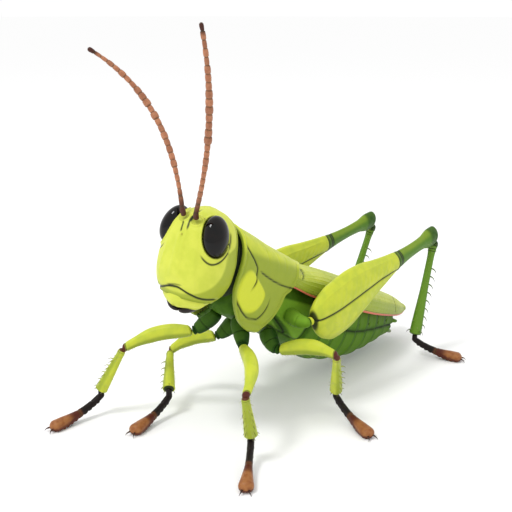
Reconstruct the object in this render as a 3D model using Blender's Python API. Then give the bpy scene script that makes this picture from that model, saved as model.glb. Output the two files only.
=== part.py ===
"""A life-size model of a large green short-horned grasshopper, standing on its six feet.

Sizes are in millimetres and become metres in the meshes. The body is modelled lying level, with the
head towards -Y, the animal's left towards +X and its back towards +Z, round the middle of the front
opening of the pronotum. Two empties then raise the body at the head end and turn the head. The legs
run from the body's sockets to knees and feet that are placed on the floor, Z = 0.
"""

import math

import bmesh
import bpy
from mathutils import Matrix, Vector

MM = 0.001

# How the animal stands.
NECK_POINT = (0.0, -8.0, 19.3)
BODY_PITCH = 23.0
HEAD_SEAT = (0.0, -0.45, 0.8)
HEAD_TURN = 9.0
HEAD_NOD = 8.5
HEAD_TILT = 4.0

# Driving sizes of the body.
GAP = 0.14
HEAD_SIZE = 1.05
PRONOTUM_WALL = 0.5
WING_WALL = 0.5
WING_TIP = 41.0
THORAX_END = 14.6
ABDOMEN_END = 37.6
ABDOMEN_SEGMENTS = 8
ANTENNA_LENGTH = 20.0

# Sizes of the legs. The knee, heel and toe of each stand in the room's own axes.
FRONT_FEMUR_RADIUS = 0.98
FRONT_FEMUR_BOW = 0.45
FRONT_FEMUR_SPREAD = 0.8
FRONT_TIBIA_RADIUS = 0.56
HIND_FEMUR_HEIGHT = 3.6
HIND_FEMUR_WIDTH = 1.3
HIND_TIBIA_RADIUS = 0.66
TARSUS_HEIGHT = 2.7
TARSUS_WIDTH = 0.6
HIP_REACH = 1.0
HIND_HIP_REACH = 1.7
LEGS = {
    "front_left": {"root": (2.0, 3.9, -6.0), "hip": (3.3, 3.8, -8.1), "knee": (9.2, -13.9, 7.6),
                   "heel": (9.3, -13.1), "toe": (13.4, -18.6)},
    "front_right": {"root": (-2.0, 3.9, -6.0), "hip": (-3.3, 3.8, -8.1), "knee": (-9.3, -14.4, 8.3),
                    "heel": (-11.5, -16.2), "toe": (-12.2, -23.1)},
    "middle_left": {"root": (2.7, 8.6, -6.6), "hip": (3.9, 8.7, -8.2), "knee": (12.1, -1.9, 9.2),
                    "heel": (9.5, 1.8), "toe": (16.3, -0.8)},
    "middle_right": {"root": (-2.7, 8.6, -6.6), "hip": (-3.9, 8.7, -8.2), "knee": (-8.9, -7.4, 6.0),
                     "heel": (-5.2, -11.2), "toe": (-4.5, -17.7)},
    "hind_left": {"root": (4.1, 10.3, -4.0), "hip": (6.8, 9.7, -4.2), "knee": (6.5, 28.7, 16.7),
                  "heel": (6.8, 24.0), "toe": (12.9, 26.4)},
    "hind_right": {"root": (-4.1, 10.3, -4.0), "hip": (-6.8, 9.7, -4.2), "knee": (-4.4, 30.0, 17.0),
                   "heel": (-8.0, 28.6), "toe": (-10.6, 33.6)},
}

COLOURS = {
    "face_green": ((0.60, 0.66, 0.10), 0.38),
    "leaf_green": ((0.48, 0.55, 0.07), 0.42),
    "deep_green": ((0.09, 0.21, 0.03), 0.45),
    "wing_green": ((0.50, 0.56, 0.09), 0.40),
    "knee_green": ((0.10, 0.22, 0.04), 0.40),
    "foot_brown": ((0.30, 0.12, 0.05), 0.40),
    "horn_brown": ((0.33, 0.15, 0.08), 0.45),
    "dark_membrane": ((0.02, 0.03, 0.015), 0.60),
    "jaw_black": ((0.02, 0.012, 0.01), 0.30),
    "eye_black": ((0.008, 0.006, 0.006), 0.08),
}


def clear_scene():
    for thing in list(bpy.data.objects):
        bpy.data.objects.remove(thing)


def finish_named(name):
    """The Principled material of that finish."""
    found = bpy.data.materials.get(name)
    if found:
        return found
    colour, roughness = COLOURS[name]
    made = bpy.data.materials.new(name)
    made.use_nodes = True
    shader = made.node_tree.nodes["Principled BSDF"]
    shader.inputs["Base Color"].default_value = (*colour, 1.0)
    shader.inputs["Roughness"].default_value = roughness
    shader.inputs["Metallic"].default_value = 0.0
    return made


def empty_at(name, place, turn, parent=None):
    holder = bpy.data.objects.new(name, None)
    holder.location = Vector(place) * MM
    holder.rotation_euler = [math.radians(a) for a in turn]
    holder.parent = parent
    bpy.context.scene.collection.objects.link(holder)
    return holder


def smooth_value(outline, t):
    """The value at t of a smooth curve that passes through (t, value) pairs without overshooting."""
    if t <= outline[0][0]:
        return outline[0][1]
    if t >= outline[-1][0]:
        return outline[-1][1]
    slopes = [(b[1] - a[1]) / (b[0] - a[0]) for a, b in zip(outline, outline[1:])]
    ends = [slopes[0]]
    for before, after in zip(slopes, slopes[1:]):
        same_way = before * after > 0
        ends.append(2 * before * after / (before + after) if same_way else 0.0)
    ends.append(slopes[-1])
    i = max(k for k in range(len(outline) - 1) if outline[k][0] <= t)
    (t0, v0), (t1, v1) = outline[i], outline[i + 1]
    width = t1 - t0
    s = (t - t0) / width
    return ((2 * s**3 - 3 * s**2 + 1) * v0 + (s**3 - 2 * s**2 + s) * width * ends[i]
            + (3 * s**2 - 2 * s**3) * v1 + (s**3 - s**2) * width * ends[i + 1])


def squared(value, exponent):
    """A sine or cosine made squarer, as on a superellipse."""
    return math.copysign(abs(value) ** (2.0 / exponent), value)


def steps(first, last, count):
    return [first + (last - first) * i / (count - 1) for i in range(count)]


def new_object(name, bm, finish, parent=None, smooth_angle=40.0):
    """Turns a bmesh in millimetres into a named object."""
    bmesh.ops.scale(bm, vec=(MM, MM, MM), verts=bm.verts)
    mesh = bpy.data.meshes.new(name)
    bm.to_mesh(mesh)
    bm.free()
    mesh.shade_smooth()
    mesh.set_sharp_from_angle(angle=math.radians(smooth_angle))
    mesh.materials.append(finish_named(finish))
    made = bpy.data.objects.new(name, mesh)
    made.parent = parent
    bpy.context.scene.collection.objects.link(made)
    return made


def extrude_rings(rings, closed=True):
    """A bmesh grown from its first ring of points by extruding the edge loop to each further ring."""
    bm = bmesh.new()
    row = [bm.verts.new(p) for p in rings[0]]
    edges = [bm.edges.new(pair) for pair in zip(row, row[1:])]
    if closed:
        edges.append(bm.edges.new((row[-1], row[0])))
    for ring in rings[1:]:
        made = bmesh.ops.extrude_edge_only(bm, edges=edges)["geom"]
        fresh = {g for g in made if isinstance(g, bmesh.types.BMVert)}
        edges = [g for g in made if isinstance(g, bmesh.types.BMEdge) and set(g.verts) <= fresh]
        row = [next(e.other_vert(v) for e in v.link_edges if e.other_vert(v) in fresh) for v in row]
        for vert, place in zip(row, ring):
            vert.co = place
    return bm


def closed_loft(rings):
    """The rings as one closed skin, with flat ends."""
    bm = extrude_rings(rings)
    open_edges = [e for e in bm.edges if e.is_boundary]
    bmesh.ops.holes_fill(bm, edges=open_edges, sides=0)
    bmesh.ops.recalc_face_normals(bm, faces=bm.faces)
    return bm


def oval(centre, across, tall, half_width, up, down, sides, exponent=2.0):
    """A ring of points round a centre, with its own height above and below."""
    ring = []
    for i in range(sides):
        angle = 2 * math.pi * (i + 0.5) / sides
        wide = half_width * squared(math.sin(angle), exponent)
        high = squared(math.cos(angle), exponent)
        high *= up if high > 0 else down
        ring.append(centre + across * wide + tall * high)
    return ring


def limb_axes(start, end, up):
    """(along, across, tall) of a straight limb, with tall as near to up as it can be."""
    along = (end - start).normalized()
    tall = (up - along * up.dot(along)).normalized()
    return along, tall.cross(along), tall


def limb(start, end, up, stations, sides, bow=0.0, spread=0.0, exponent=2.0):
    """Rings of a limb. Each station is (share of the length, half width, height above, height below)."""
    along, across, tall = limb_axes(start, end, up)
    length = (end - start).length
    rings = []
    for share, half_width, above, below in stations:
        centre = start + along * length * share + (tall * bow + across * spread) * math.sin(math.pi * share)
        rings.append(oval(centre, across, tall, half_width, above, below, sides, exponent))
    return rings


def tube(points, radii, sides):
    """A round skin along a bent line of points."""
    rings = []
    across = Vector((1, 0, 0))
    for i, (point, radius) in enumerate(zip(points, radii)):
        before = points[max(i - 1, 0)]
        after = points[min(i + 1, len(points) - 1)]
        along = (after - before).normalized()
        across = (across - along * across.dot(along)).normalized()
        rings.append(oval(point, across, along.cross(across), radius, radius, radius, sides))
    return closed_loft(rings)


# ---------------------------------------------------------------- head

HEAD_LEVELS = (4.75, 4.65, 4.35, 3.8, 3.0, 2.0, 1.0, 0.0, -1.0, -2.0, -2.9, -3.7, -4.3, -4.65)
FACE_LINE = ((-4.65, -6.0), (-3.2, -6.65), (-1.5, -6.95), (1.0, -7.0), (2.4, -6.85), (3.4, -6.3), (4.2, -5.3),
             (4.75, -3.9))
NAPE_LINE = ((-4.65, -2.2), (-3.7, -1.2), (-2.0, -0.6), (2.0, -0.5), (3.4, -0.8), (4.2, -1.5),
             (4.75, -2.9))
CHEEK_LINE = ((-4.65, 2.85), (-3.6, 3.5), (-2.2, 3.85), (-0.8, 3.9), (1.0, 3.6), (2.6, 3.1), (3.7, 2.35),
              (4.4, 1.4), (4.75, 0.55))
EYE_CENTRE = (2.6, -5.0, 2.2)
EYE_RADII = (1.25, 1.6, 2.15)
EYE_TILT = (-5.0, 14.0)


def head_ring(level, sides):
    """The outline of the head capsule at one height: rounded in front, squarer behind."""
    front = smooth_value(FACE_LINE, level)
    back = smooth_value(NAPE_LINE, level)
    cheek = smooth_value(CHEEK_LINE, level)
    middle = (front + back) / 2
    ring = []
    for i in range(sides):
        angle = 2 * math.pi * i / sides
        exponent = 3.6 if math.cos(angle) < 0 else 2.25
        x = cheek * squared(math.sin(angle), exponent)
        y = middle - (middle - front) * squared(math.cos(angle), exponent)
        ridge = 0.28 * math.exp(-((x / 0.55) ** 2)) * smooth_value(((-4.4, 0.0), (-3.2, 0.6), (2.6, 1.0),
                                                                  (4.2, 0.0)), level)
        ring.append(Vector((x, y - (ridge if math.cos(angle) > 0 else 0.0), level)))
    return ring


def eye_mesh(side, grow, segments, rings):
    bm = bmesh.new()
    bmesh.ops.create_uvsphere(bm, u_segments=segments, v_segments=rings, radius=1.0)
    bmesh.ops.scale(bm, vec=[r + grow for r in EYE_RADII], verts=bm.verts)
    tilt, lean = EYE_TILT
    turn = Matrix.Rotation(math.radians(tilt), 3, "X") @ Matrix.Rotation(math.radians(-lean * side), 3, "Y")
    bmesh.ops.rotate(bm, matrix=turn, verts=bm.verts)
    x, y, z = EYE_CENTRE
    bmesh.ops.translate(bm, vec=(side * x, y, z), verts=bm.verts)
    return bm


def build_head(head_frame):
    head = new_object("head", closed_loft([head_ring(z, 26) for z in HEAD_LEVELS]), "face_green", head_frame)
    for side, word in ((1, "left"), (-1, "right")):
        cutter = new_object(f"socket_{word}", eye_mesh(side, GAP, 12, 8), "eye_black", head_frame)
        cutter.hide_render = True
        cutter.display_type = "WIRE"
        socket = head.modifiers.new(f"socket_{word}", "BOOLEAN")
        socket.operation = "DIFFERENCE"
        socket.object = cutter
        new_object(f"eye_{word}", eye_mesh(side, 0.0, 14, 9), "eye_black", head_frame)


def build_mouth(head_frame):
    """Upper lip, the two jaws, the lower lip and the pair of long feelers beside the mouth."""
    x_axis, y_axis, z_axis = Vector((1, 0, 0)), Vector((0, 1, 0)), Vector((0, 0, 1))
    lip = [(-4.8, 2.2, -5.35, 0.55), (-5.25, 2.2, -5.35, 0.6), (-5.75, 1.7, -5.2, 0.5),
           (-6.05, 0.9, -5.1, 0.35)]
    rings = [oval(Vector((0, y, z)), x_axis, -y_axis, w, d, d, 12) for z, w, y, d in lip]
    new_object("labrum", closed_loft(rings), "face_green", head_frame)
    jaw = [(-4.8, 1.0, -3.8, 0.8), (-5.5, 0.95, -3.85, 0.75), (-6.35, 0.55, -4.1, 0.5)]
    for side, word in ((1, "left"), (-1, "right")):
        rings = [oval(Vector((side * (1.75 + (z + 4.8) * 0.4), y, z)), x_axis, -y_axis, w, d, d, 10)
                 for z, w, y, d in jaw]
        new_object(f"mandible_{word}", closed_loft(rings), "jaw_black", head_frame)
        feeler = [(2.3, -2.3, -5.0), (2.35, -2.4, -5.6), (2.15, -2.8, -6.1), (1.85, -3.2, -6.5),
                  (1.65, -3.4, -6.8)]
        points = [Vector((side * x, y, z)) for x, y, z in feeler]
        new_object(f"palp_{word}", tube(points, [0.3, 0.28, 0.3, 0.27, 0.31], 6), "leaf_green", head_frame)
    lower = [(-4.8, 1.5, -2.4, 0.38), (-5.4, 1.55, -2.5, 0.4), (-5.95, 1.1, -2.7, 0.36)]
    rings = [oval(Vector((0, y, z)), x_axis, -y_axis, w, d, d, 10) for z, w, y, d in lower]
    new_object("labium", closed_loft(rings), "leaf_green", head_frame)


def build_neck(body_frame):
    """The dark, soft neck between the back of the head and the front of the thorax."""
    neck = [(0.16, 2.1, 2.5, 2.8), (0.4, 2.2, 2.6, 3.0), (0.86, 2.1, 2.3, 3.2)]
    x_axis, z_axis = Vector((1, 0, 0)), Vector((0, 0, 1))
    rings = [oval(Vector((0, y, -0.4)), x_axis, z_axis, w, u, d, 14) for y, w, u, d in neck]
    new_object("neck", closed_loft(rings), "dark_membrane", body_frame)


ANTENNA_ROOT = (0.8, -6.33, 3.5)
ANTENNA_SOCKET_WAY = (0.0, -0.7, 0.72)
ANTENNA_SOCKET_BEND = 0.05
ANTENNA_WAYS = {"left": ((0.31, -0.43, 0.85), (-0.19, -0.44, 0.88)),
                "right": ((-0.45, 0.05, 0.89), (-0.7, -0.66, 0.27))}
ANTENNA_RADII = ((0.0, 0.5), (0.035, 0.56), (0.05, 0.36), (0.075, 0.42), (0.1, 0.33), (0.5, 0.36),
                 (0.85, 0.29), (1.0, 0.25))


def antenna_line(word, count):
    """Points along a feeler that sets out one way and bends evenly towards another."""
    side = 1 if word == "left" else -1
    socket = Vector(ANTENNA_SOCKET_WAY).normalized()
    first, last = (Vector(w).normalized() for w in ANTENNA_WAYS[word])
    point = Vector((side * ANTENNA_ROOT[0], ANTENNA_ROOT[1], ANTENNA_ROOT[2]))
    points = [point.copy()]
    stride = ANTENNA_LENGTH / (count - 1)
    for i in range(count - 1):
        share = (i + 0.5) / (count - 1)
        way = first.lerp(last, share**1.4).normalized()
        point = point + way.lerp(socket, max(0.0, 1 - share / ANTENNA_SOCKET_BEND)).normalized() * stride
        points.append(point.copy())
    return points


def build_antennae(head_frame):
    shares = [0.0, 0.035, 0.05, 0.075, 0.1] + steps(0.18, 1.0, 10)
    fine = 201
    for word in ("left", "right"):
        line = antenna_line(word, fine)
        points = [line[round(s * (fine - 1))] for s in shares]
        radii = [smooth_value(ANTENNA_RADII, s) for s in shares]
        new_object(f"antenna_{word}", tube(points, radii, 6), "horn_brown", head_frame)


# ---------------------------------------------------------------- thorax and wings

PRONOTUM_LENGTH = 12.7
PRONOTUM_WIDTH = ((0.0, 4.2), (0.15, 4.35), (0.4, 4.55), (0.75, 4.75), (1.0, 4.75))
PRONOTUM_TOP = ((0.0, 4.45), (0.25, 4.0), (0.5, 3.4), (0.8, 2.9), (1.0, 2.5))
PRONOTUM_FRONT = ((0.0, -1.1), (0.4, -0.9), (0.6, -0.8), (0.74, -0.9), (0.82, -0.5), (0.94, 1.0),
                  (0.985, 2.4), (1.0, 3.1))
PRONOTUM_REAR = ((0.0, 11.6), (0.2, 10.9), (0.4, 9.4), (0.6, 8.9), (0.66, 8.4), (0.71, 7.5), (0.78, 7.2),
                 (0.865, 6.5), (0.965, 4.9), (1.0, 4.2))
PRONOTUM_SHOULDER = 0.6
PRONOTUM_DROP = 6.8
PRONOTUM_TUCK = 0.2


def pronotum_point(u, v):
    """A point of the saddle: u from its front edge to its rear edge, v from one lower edge over the back."""
    share = abs(v)
    y = smooth_value(PRONOTUM_FRONT, share) * (1 - u) + smooth_value(PRONOTUM_REAR, share) * u
    along = max(0.0, min(1.0, (y + 1.1) / PRONOTUM_LENGTH))
    half_width = smooth_value(PRONOTUM_WIDTH, along)
    if share < PRONOTUM_SHOULDER:
        angle = math.radians(90.0) * share / PRONOTUM_SHOULDER
        x = half_width * squared(math.sin(angle), 2.5)
        keel = 0.22 * math.exp(-((x / 0.4) ** 2))
        z = smooth_value(PRONOTUM_TOP, along) * squared(math.cos(angle), 2.5) + keel
    else:
        hang = (share - PRONOTUM_SHOULDER) / (1 - PRONOTUM_SHOULDER)
        x = half_width - PRONOTUM_TUCK * hang**2
        z = -PRONOTUM_DROP * hang
    return Vector((math.copysign(x, v), y, z))


def wall_inwards(made, thickness):
    wall = made.modifiers.new("wall", "SOLIDIFY")
    wall.thickness = thickness * MM
    wall.offset = -1.0
    wall.use_even_offset = True


def open_sheet(points_of, rows, columns):
    """An open skin over a grid of (u, v) values, grown row by row."""
    return extrude_rings([[points_of(u, v) for v in columns] for u in rows], closed=False)


def build_pronotum(body_frame):
    rows, columns = steps(0.0, 1.0, 11), steps(-1.0, 1.0, 23)
    sheet = open_sheet(pronotum_point, rows, columns)
    face_outwards(sheet, Vector((0, 4, -1)))
    made = new_object("pronotum", sheet, "leaf_green", body_frame, smooth_angle=50.0)
    wall_inwards(made, PRONOTUM_WALL)


def face_outwards(bm, inside):
    """Turns an open skin so that its faces look away from a point on its inner side."""
    bm.normal_update()
    outwards = sum((f.calc_center_median() - inside).dot(f.normal) * f.calc_area() for f in bm.faces)
    if outwards < 0:
        bmesh.ops.reverse_faces(bm, faces=bm.faces)


THORAX_WIDTH = ((1.0, 2.3), (2.0, 2.85), (4.0, 3.2), (7.0, 3.3), (9.0, 3.4), (11.5, 3.9), (14.6, 4.0))
THORAX_TOP = ((1.0, 2.5), (4.0, 2.4), (7.0, 1.6), (9.0, 1.0), (11.0, 1.0), (14.6, 1.5))
THORAX_BASE = ((1.0, -4.6), (2.5, -5.7), (6.0, -6.25), (9.0, -6.7), (12.0, -7.3), (14.6, -7.7))
ABDOMEN_WIDTH = ((14.6, 4.0), (18.0, 3.95), (25.0, 3.5), (32.0, 2.65), (37.6, 1.7))
ABDOMEN_TOP = ((14.6, 1.5), (20.0, 1.6), (28.0, 1.5), (37.6, 1.0))
ABDOMEN_BASE = ((14.6, -7.7), (20.0, -8.8), (26.0, -8.2), (31.0, -6.6), (37.6, -3.6))


def trunk_ring(widths, tops, bases, y, sides, grow=0.0, exponent=2.3):
    middle = (smooth_value(tops, y) + smooth_value(bases, y)) / 2 - 0.4
    up = smooth_value(tops, y) - middle + grow
    down = middle - smooth_value(bases, y) + grow
    return oval(Vector((0, y, middle)), Vector((1, 0, 0)), Vector((0, 0, 1)),
                smooth_value(widths, y) + grow, up, down, sides, exponent)


def build_trunk(body_frame):
    shape = (THORAX_WIDTH, THORAX_TOP, THORAX_BASE)
    stations = (1.0, 1.6, 2.6, 4.2, 6.5, 9.0, 10.5, 12.5, THORAX_END - GAP)
    new_object("thorax", closed_loft([trunk_ring(*shape, y, 20) for y in stations]), "deep_green", body_frame)
    shape = (ABDOMEN_WIDTH, ABDOMEN_TOP, ABDOMEN_BASE)
    edges = steps(THORAX_END, ABDOMEN_END, ABDOMEN_SEGMENTS + 1)
    for i, (start, end) in enumerate(zip(edges, edges[1:])):
        rings = [trunk_ring(*shape, start, 16, -0.2), trunk_ring(*shape, start + 0.35, 16),
                 trunk_ring(*shape, end - GAP, 16, 0.12)]
        new_object(f"abdomen_{i + 1}", closed_loft(rings), "deep_green", body_frame)


CERCUS_LINE = ((1.4, 37.8, -1.2), (1.5, 38.6, -1.25), (1.45, 39.4, -1.2))


def build_tail(body_frame):
    """The last plate, the two short cerci and the upper and lower valves of the egg-laying tip."""
    x_axis, z_axis = Vector((1, 0, 0)), Vector((0, 0, 1))
    plate = [(37.7, 1.35, 0.95, 0.9), (38.6, 1.2, 0.75, 0.8), (39.6, 0.7, 0.45, 0.5), (40.0, 0.35, 0.25, 0.3)]
    rings = [oval(Vector((0, y, -0.15)), x_axis, z_axis, w, u, d, 12) for y, w, u, d in plate]
    new_object("tail_plate", closed_loft(rings), "deep_green", body_frame)
    for word, level, lift in (("upper", -1.75, 0.35), ("lower", -2.75, -0.1)):
        valve = [(37.75, 0.85, 0.38), (39.0, 0.75, 0.4), (40.2, 0.5, 0.32), (40.9, 0.28, 0.25)]
        rings = [oval(Vector((0, y, level + lift * max(0.0, y - 38.5) / 2)), x_axis, z_axis, w, d, d, 8)
                 for y, w, d in valve]
        new_object(f"ovipositor_{word}", closed_loft(rings), "deep_green", body_frame)
    for side, word in ((1, "left"), (-1, "right")):
        points = [Vector((side * x, y, z)) for x, y, z in CERCUS_LINE]
        new_object(f"cercus_{word}", tube(points, [0.34, 0.3, 0.25], 6), "deep_green", body_frame)


WING_START = 9.3
WING_WIDTH = ((9.3, 4.0), (11.0, 4.45), (14.0, 4.7), (18.0, 4.7), (24.0, 4.5), (31.0, 3.7), (37.0, 2.7),
              (41.0, 1.5))
WING_ROWS = (9.3, 11.0, 12.6, 14.5, 18.0, 22.0, 26.0, 30.0, 33.5, 36.5, 39.0, 40.3, 41.0)
WING_COLUMNS = (0.0, 0.18, 0.32, 0.44, 0.56, 0.72, 0.86, 1.0)
WING_TOP = ((9.3, 1.6), (11.0, 1.7), (12.6, 2.15), (15.0, 2.4), (20.0, 2.5), (28.0, 2.4), (36.0, 2.2),
            (41.0, 1.5))
WING_EDGE = ((9.3, -0.7), (12.8, -1.2), (20.0, -1.4), (27.0, -1.3), (35.4, -0.7), (39.5, 0.0), (41.0, 0.7))
WING_SEAM = 0.12


def wing_point(side, u, v):
    """A point of a folded forewing: u from root to tip, v from the seam on the back to the lower edge."""
    y = WING_START + (WING_TIP - WING_START) * u
    half_width = smooth_value(WING_WIDTH, y)
    top = smooth_value(WING_TOP, y)
    edge = smooth_value(WING_EDGE, y)
    middle = edge + (top - edge) * 0.26
    if v < 0.72:
        angle = math.radians(90.0) * v / 0.72
        x = WING_SEAM + (half_width - WING_SEAM) * squared(math.sin(angle), 2.4)
        z = middle + (top - middle) * squared(math.cos(angle), 2.4)
    else:
        share = (v - 0.72) / 0.28
        x = half_width - 0.12 * share**2
        z = middle + (edge - middle) * share
    return Vector((side * x, y, z))


def build_wings(body_frame):
    rows = [(y - WING_START) / (WING_TIP - WING_START) for y in WING_ROWS]
    for side, word in ((1, "left"), (-1, "right")):
        sheet = open_sheet(lambda u, v, side=side: wing_point(side, u, v), rows, WING_COLUMNS)
        face_outwards(sheet, Vector((0, 25, -1)))
        made = new_object(f"forewing_{word}", sheet, "wing_green", body_frame, smooth_angle=50.0)
        wall_inwards(made, WING_WALL)


# ---------------------------------------------------------------- legs

FRONT_FEMUR = ((0.0, 0.55), (0.05, 0.8), (0.3, 1.0), (0.55, 0.95), (0.85, 0.68), (0.95, 0.72),
               (1.0, 0.5))
FRONT_TIBIA = ((0.0, 0.8), (0.06, 0.95), (0.2, 0.88), (0.6, 0.92), (0.92, 1.12), (1.0, 0.9))
HIND_FEMUR = ((0.0, 0.36), (0.05, 0.74), (0.12, 0.95), (0.23, 1.0), (0.34, 0.88), (0.47, 0.62), (0.6, 0.41),
              (0.72, 0.27), (0.8, 0.24), (0.87, 0.27), (0.935, 0.39), (0.975, 0.38), (1.0, 0.25))
HIND_FEMUR_THICK = ((0.0, 0.55), (0.05, 0.8), (0.16, 1.0), (0.3, 1.0), (0.45, 0.85), (0.6, 0.66), (0.75, 0.52),
                    (0.87, 0.52), (0.935, 0.66), (0.975, 0.62), (1.0, 0.45))
TARSUS_OUTLINE = ((0.0, 0.62), (0.3, 0.62), (0.5, 0.72), (0.62, 0.9), (0.75, 1.12), (0.87, 1.3), (0.95, 1.2),
                  (1.0, 0.8))
TARSUS_SECTION = ((1.0, 0.5), (0.72, 0.88), (0.0, 1.0), (-0.72, 0.88), (-1.0, 0.5), (-0.62, 0.0), (0.62, 0.0))
TARSUS_TOP = ((-0.06, 2.62), (0.04, 2.7), (0.16, 2.45), (0.34, 1.95), (0.5, 1.5), (0.62, 1.28), (0.8, 1.2),
              (0.92, 1.05), (1.0, 0.6))
TARSUS_SOLE = ((-0.06, 2.0), (0.04, 1.75), (0.16, 1.45), (0.34, 0.9), (0.5, 0.45), (0.62, 0.12), (0.68, 0.0),
               (1.0, 0.0))


def body_point(point):
    """A point of the level body, carried to where the raised body stands."""
    turn = Matrix.Rotation(math.radians(-BODY_PITCH), 3, "X")
    return turn @ Vector(point) + Vector(NECK_POINT)


def hip_line(leg):
    """The first joint of a leg comes out of the body and bends round towards the knee."""
    root, hip = body_point(leg["root"]), body_point(leg["hip"])
    end = hip + (Vector(leg["knee"]) - hip).normalized() * leg["hip_reach"]
    return [root.lerp(hip, t).lerp(hip.lerp(end, t), t) for t in steps(0.0, 1.0, 6)]


def build_coxa(name, leg, radius, stand):
    radii = [radius * share for share in (0.9, 1.05, 0.95, 0.8, 0.68, 0.55)]
    new_object(f"coxa_{name}", tube(hip_line(leg), radii, 8), "deep_green", stand)


def femur_start(leg, knee):
    """Just past the end of the hip, on the way to the knee."""
    end = hip_line(leg)[-1]
    return end + (knee - end).normalized() * GAP


def build_front_femur(name, leg, stand):
    knee = Vector(leg["knee"])
    start = femur_start(leg, knee)
    stations = []
    for share in (0.0, 0.06, 0.2, 0.4, 0.6, 0.8, 0.94, 1.0):
        size = FRONT_FEMUR_RADIUS * smooth_value(FRONT_FEMUR, share)
        stations.append((share, size * 0.85, size, size))
    spread = math.copysign(FRONT_FEMUR_SPREAD, knee.x)
    rings = limb(start, knee, Vector((0, 0, 1)), stations, 8, FRONT_FEMUR_BOW, spread)
    new_object(f"femur_{name}", closed_loft(rings), "leaf_green", stand)


def build_hind_femur(name, leg, stand):
    knee = Vector(leg["knee"])
    start = femur_start(leg, knee)
    stations = []
    for share in (0.0, 0.03, 0.07, 0.13, 0.22, 0.33, 0.45, 0.57, 0.7, 0.82, 0.9, 0.945, 0.98, 1.0):
        tall = HIND_FEMUR_HEIGHT * smooth_value(HIND_FEMUR, share)
        wide = HIND_FEMUR_WIDTH * smooth_value(HIND_FEMUR_THICK, share)
        stations.append((share, wide, tall * 0.92, tall * 1.04))
    away_from_heel = knee - Vector((*leg["heel"], 0.0))
    rings = limb(start, knee, away_from_heel, stations, 12, exponent=1.8)
    new_object(f"femur_{name}", closed_loft(rings), "leaf_green", stand)


def ankle_of(leg, radius):
    """Where the shin ends: just clear of the top of the foot, however much the shin leans."""
    x, y = leg["heel"]
    reach = math.hypot(leg["knee"][0] - x, leg["knee"][1] - y)
    lean = math.atan2(reach, leg["knee"][2] - TARSUS_HEIGHT)
    return Vector((x, y, TARSUS_HEIGHT + GAP + radius * math.sin(lean)))


def spiked_limb(start, end, up, radius, shares, spine_faces, spine_length, sides=8):
    """A shin whose short faces are drawn out to a point where a spine stands."""
    stations = [(s, *(radius * smooth_value(FRONT_TIBIA, s),) * 3) for s in shares]
    bm = closed_loft(limb(start, end, up, stations, sides))
    along, across, tall = limb_axes(start, end, up)
    length = (end - start).length
    quads = [f for f in bm.faces if len(f.verts) == 4]
    for share, lean in spine_faces:
        aim = start + along * length * share
        way = (tall + across * lean).normalized()
        face = max(quads, key=lambda f: (f.calc_center_median() - aim).normalized().dot(way)
                   - abs((f.calc_center_median() - aim).dot(along)) * 2)
        quads.remove(face)
        tip = face.calc_center_median() + (way + along * 0.75).normalized() * spine_length
        centre = bmesh.ops.poke(bm, faces=[face])["verts"][0]
        centre.co = tip
    return bm


def build_tibia(name, leg, radius, spine_count, spine_length, stand):
    knee, end = Vector(leg["knee"]), ankle_of(leg, radius)
    along = (end - knee).normalized()
    start = knee + along * leg["knee_clearance"]
    first, pitch, width = 0.3, 0.66 / spine_count, 0.36 / (end - start).length
    shares, spines = [0.0, 0.06, 0.16], []
    for i in range(spine_count):
        share = first + pitch * i
        shares += [share - width / 2, share + width / 2]
        spines += [(share, 0.6), (share, -0.6)]
    shares += [0.97, 1.0]
    behind = knee - body_point(leg["hip"])
    bm = spiked_limb(start, end, behind, radius, shares, spines, spine_length)
    finish = "knee_green" if name.startswith("hind") else "leaf_green"
    new_object(f"tibia_{name}", bm, finish, stand, smooth_angle=30.0)


def build_tarsus(name, leg, scale, stand):
    """The foot: a thin row of joints that slopes from the raised heel to a club with a flat sole."""
    heel, toe = Vector((*leg["heel"], 0.0)), Vector((*leg["toe"], 0.0))
    along = (toe - heel).normalized()
    across = Vector((0, 0, 1)).cross(along)
    length = (toe - heel).length
    rings = []
    for share in (-0.06, 0.04, 0.16, 0.34, 0.5, 0.62, 0.68, 0.78, 0.88, 0.96, 1.0):
        half_width = TARSUS_WIDTH * scale * smooth_value(TARSUS_OUTLINE, max(share, 0.0))
        top, sole = smooth_value(TARSUS_TOP, share), smooth_value(TARSUS_SOLE, share)
        centre = heel + along * length * share
        rings.append([centre + across * half_width * x + Vector((0, 0, sole + (top - sole) * z))
                      for x, z in TARSUS_SECTION])
    bm = closed_loft(rings)
    end_plane = [f for f in bm.faces if f.calc_center_median().dot(along) > toe.dot(along) - 0.3 * length]
    for side in (1, -1):
        way = (along + across * side * 0.75).normalized()
        quads = [f for f in end_plane if f.is_valid and len(f.verts) == 4]
        raised = [f for f in quads if f.calc_center_median().z > 0.15]
        face = max(raised, key=lambda f, side=side: (f.calc_center_median() - toe).dot(across) * side)
        tip = face.calc_center_median() + way * 0.6
        tip.z = 0.12
        centre = bmesh.ops.poke(bm, faces=[face])["verts"][0]
        centre.co = tip
    new_object(f"tarsus_{name}", bm, "foot_brown", stand, smooth_angle=35.0)


def build_legs(stand):
    for name, leg in LEGS.items():
        hind = name.startswith("hind")
        leg["knee_clearance"] = 1.9 if hind else 1.0
        leg["hip_reach"] = HIND_HIP_REACH if hind else HIP_REACH
        build_coxa(name, leg, 1.2 if hind else 1.0, stand)
        if hind:
            build_hind_femur(name, leg, stand)
            build_tibia(name, leg, HIND_TIBIA_RADIUS, 8, 1.0, stand)
        else:
            build_front_femur(name, leg, stand)
            build_tibia(name, leg, FRONT_TIBIA_RADIUS, 4, 0.6, stand)
        build_tarsus(name, leg, 1.15 if hind else 1.0, stand)


# ---------------------------------------------------------------- the whole animal


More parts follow.
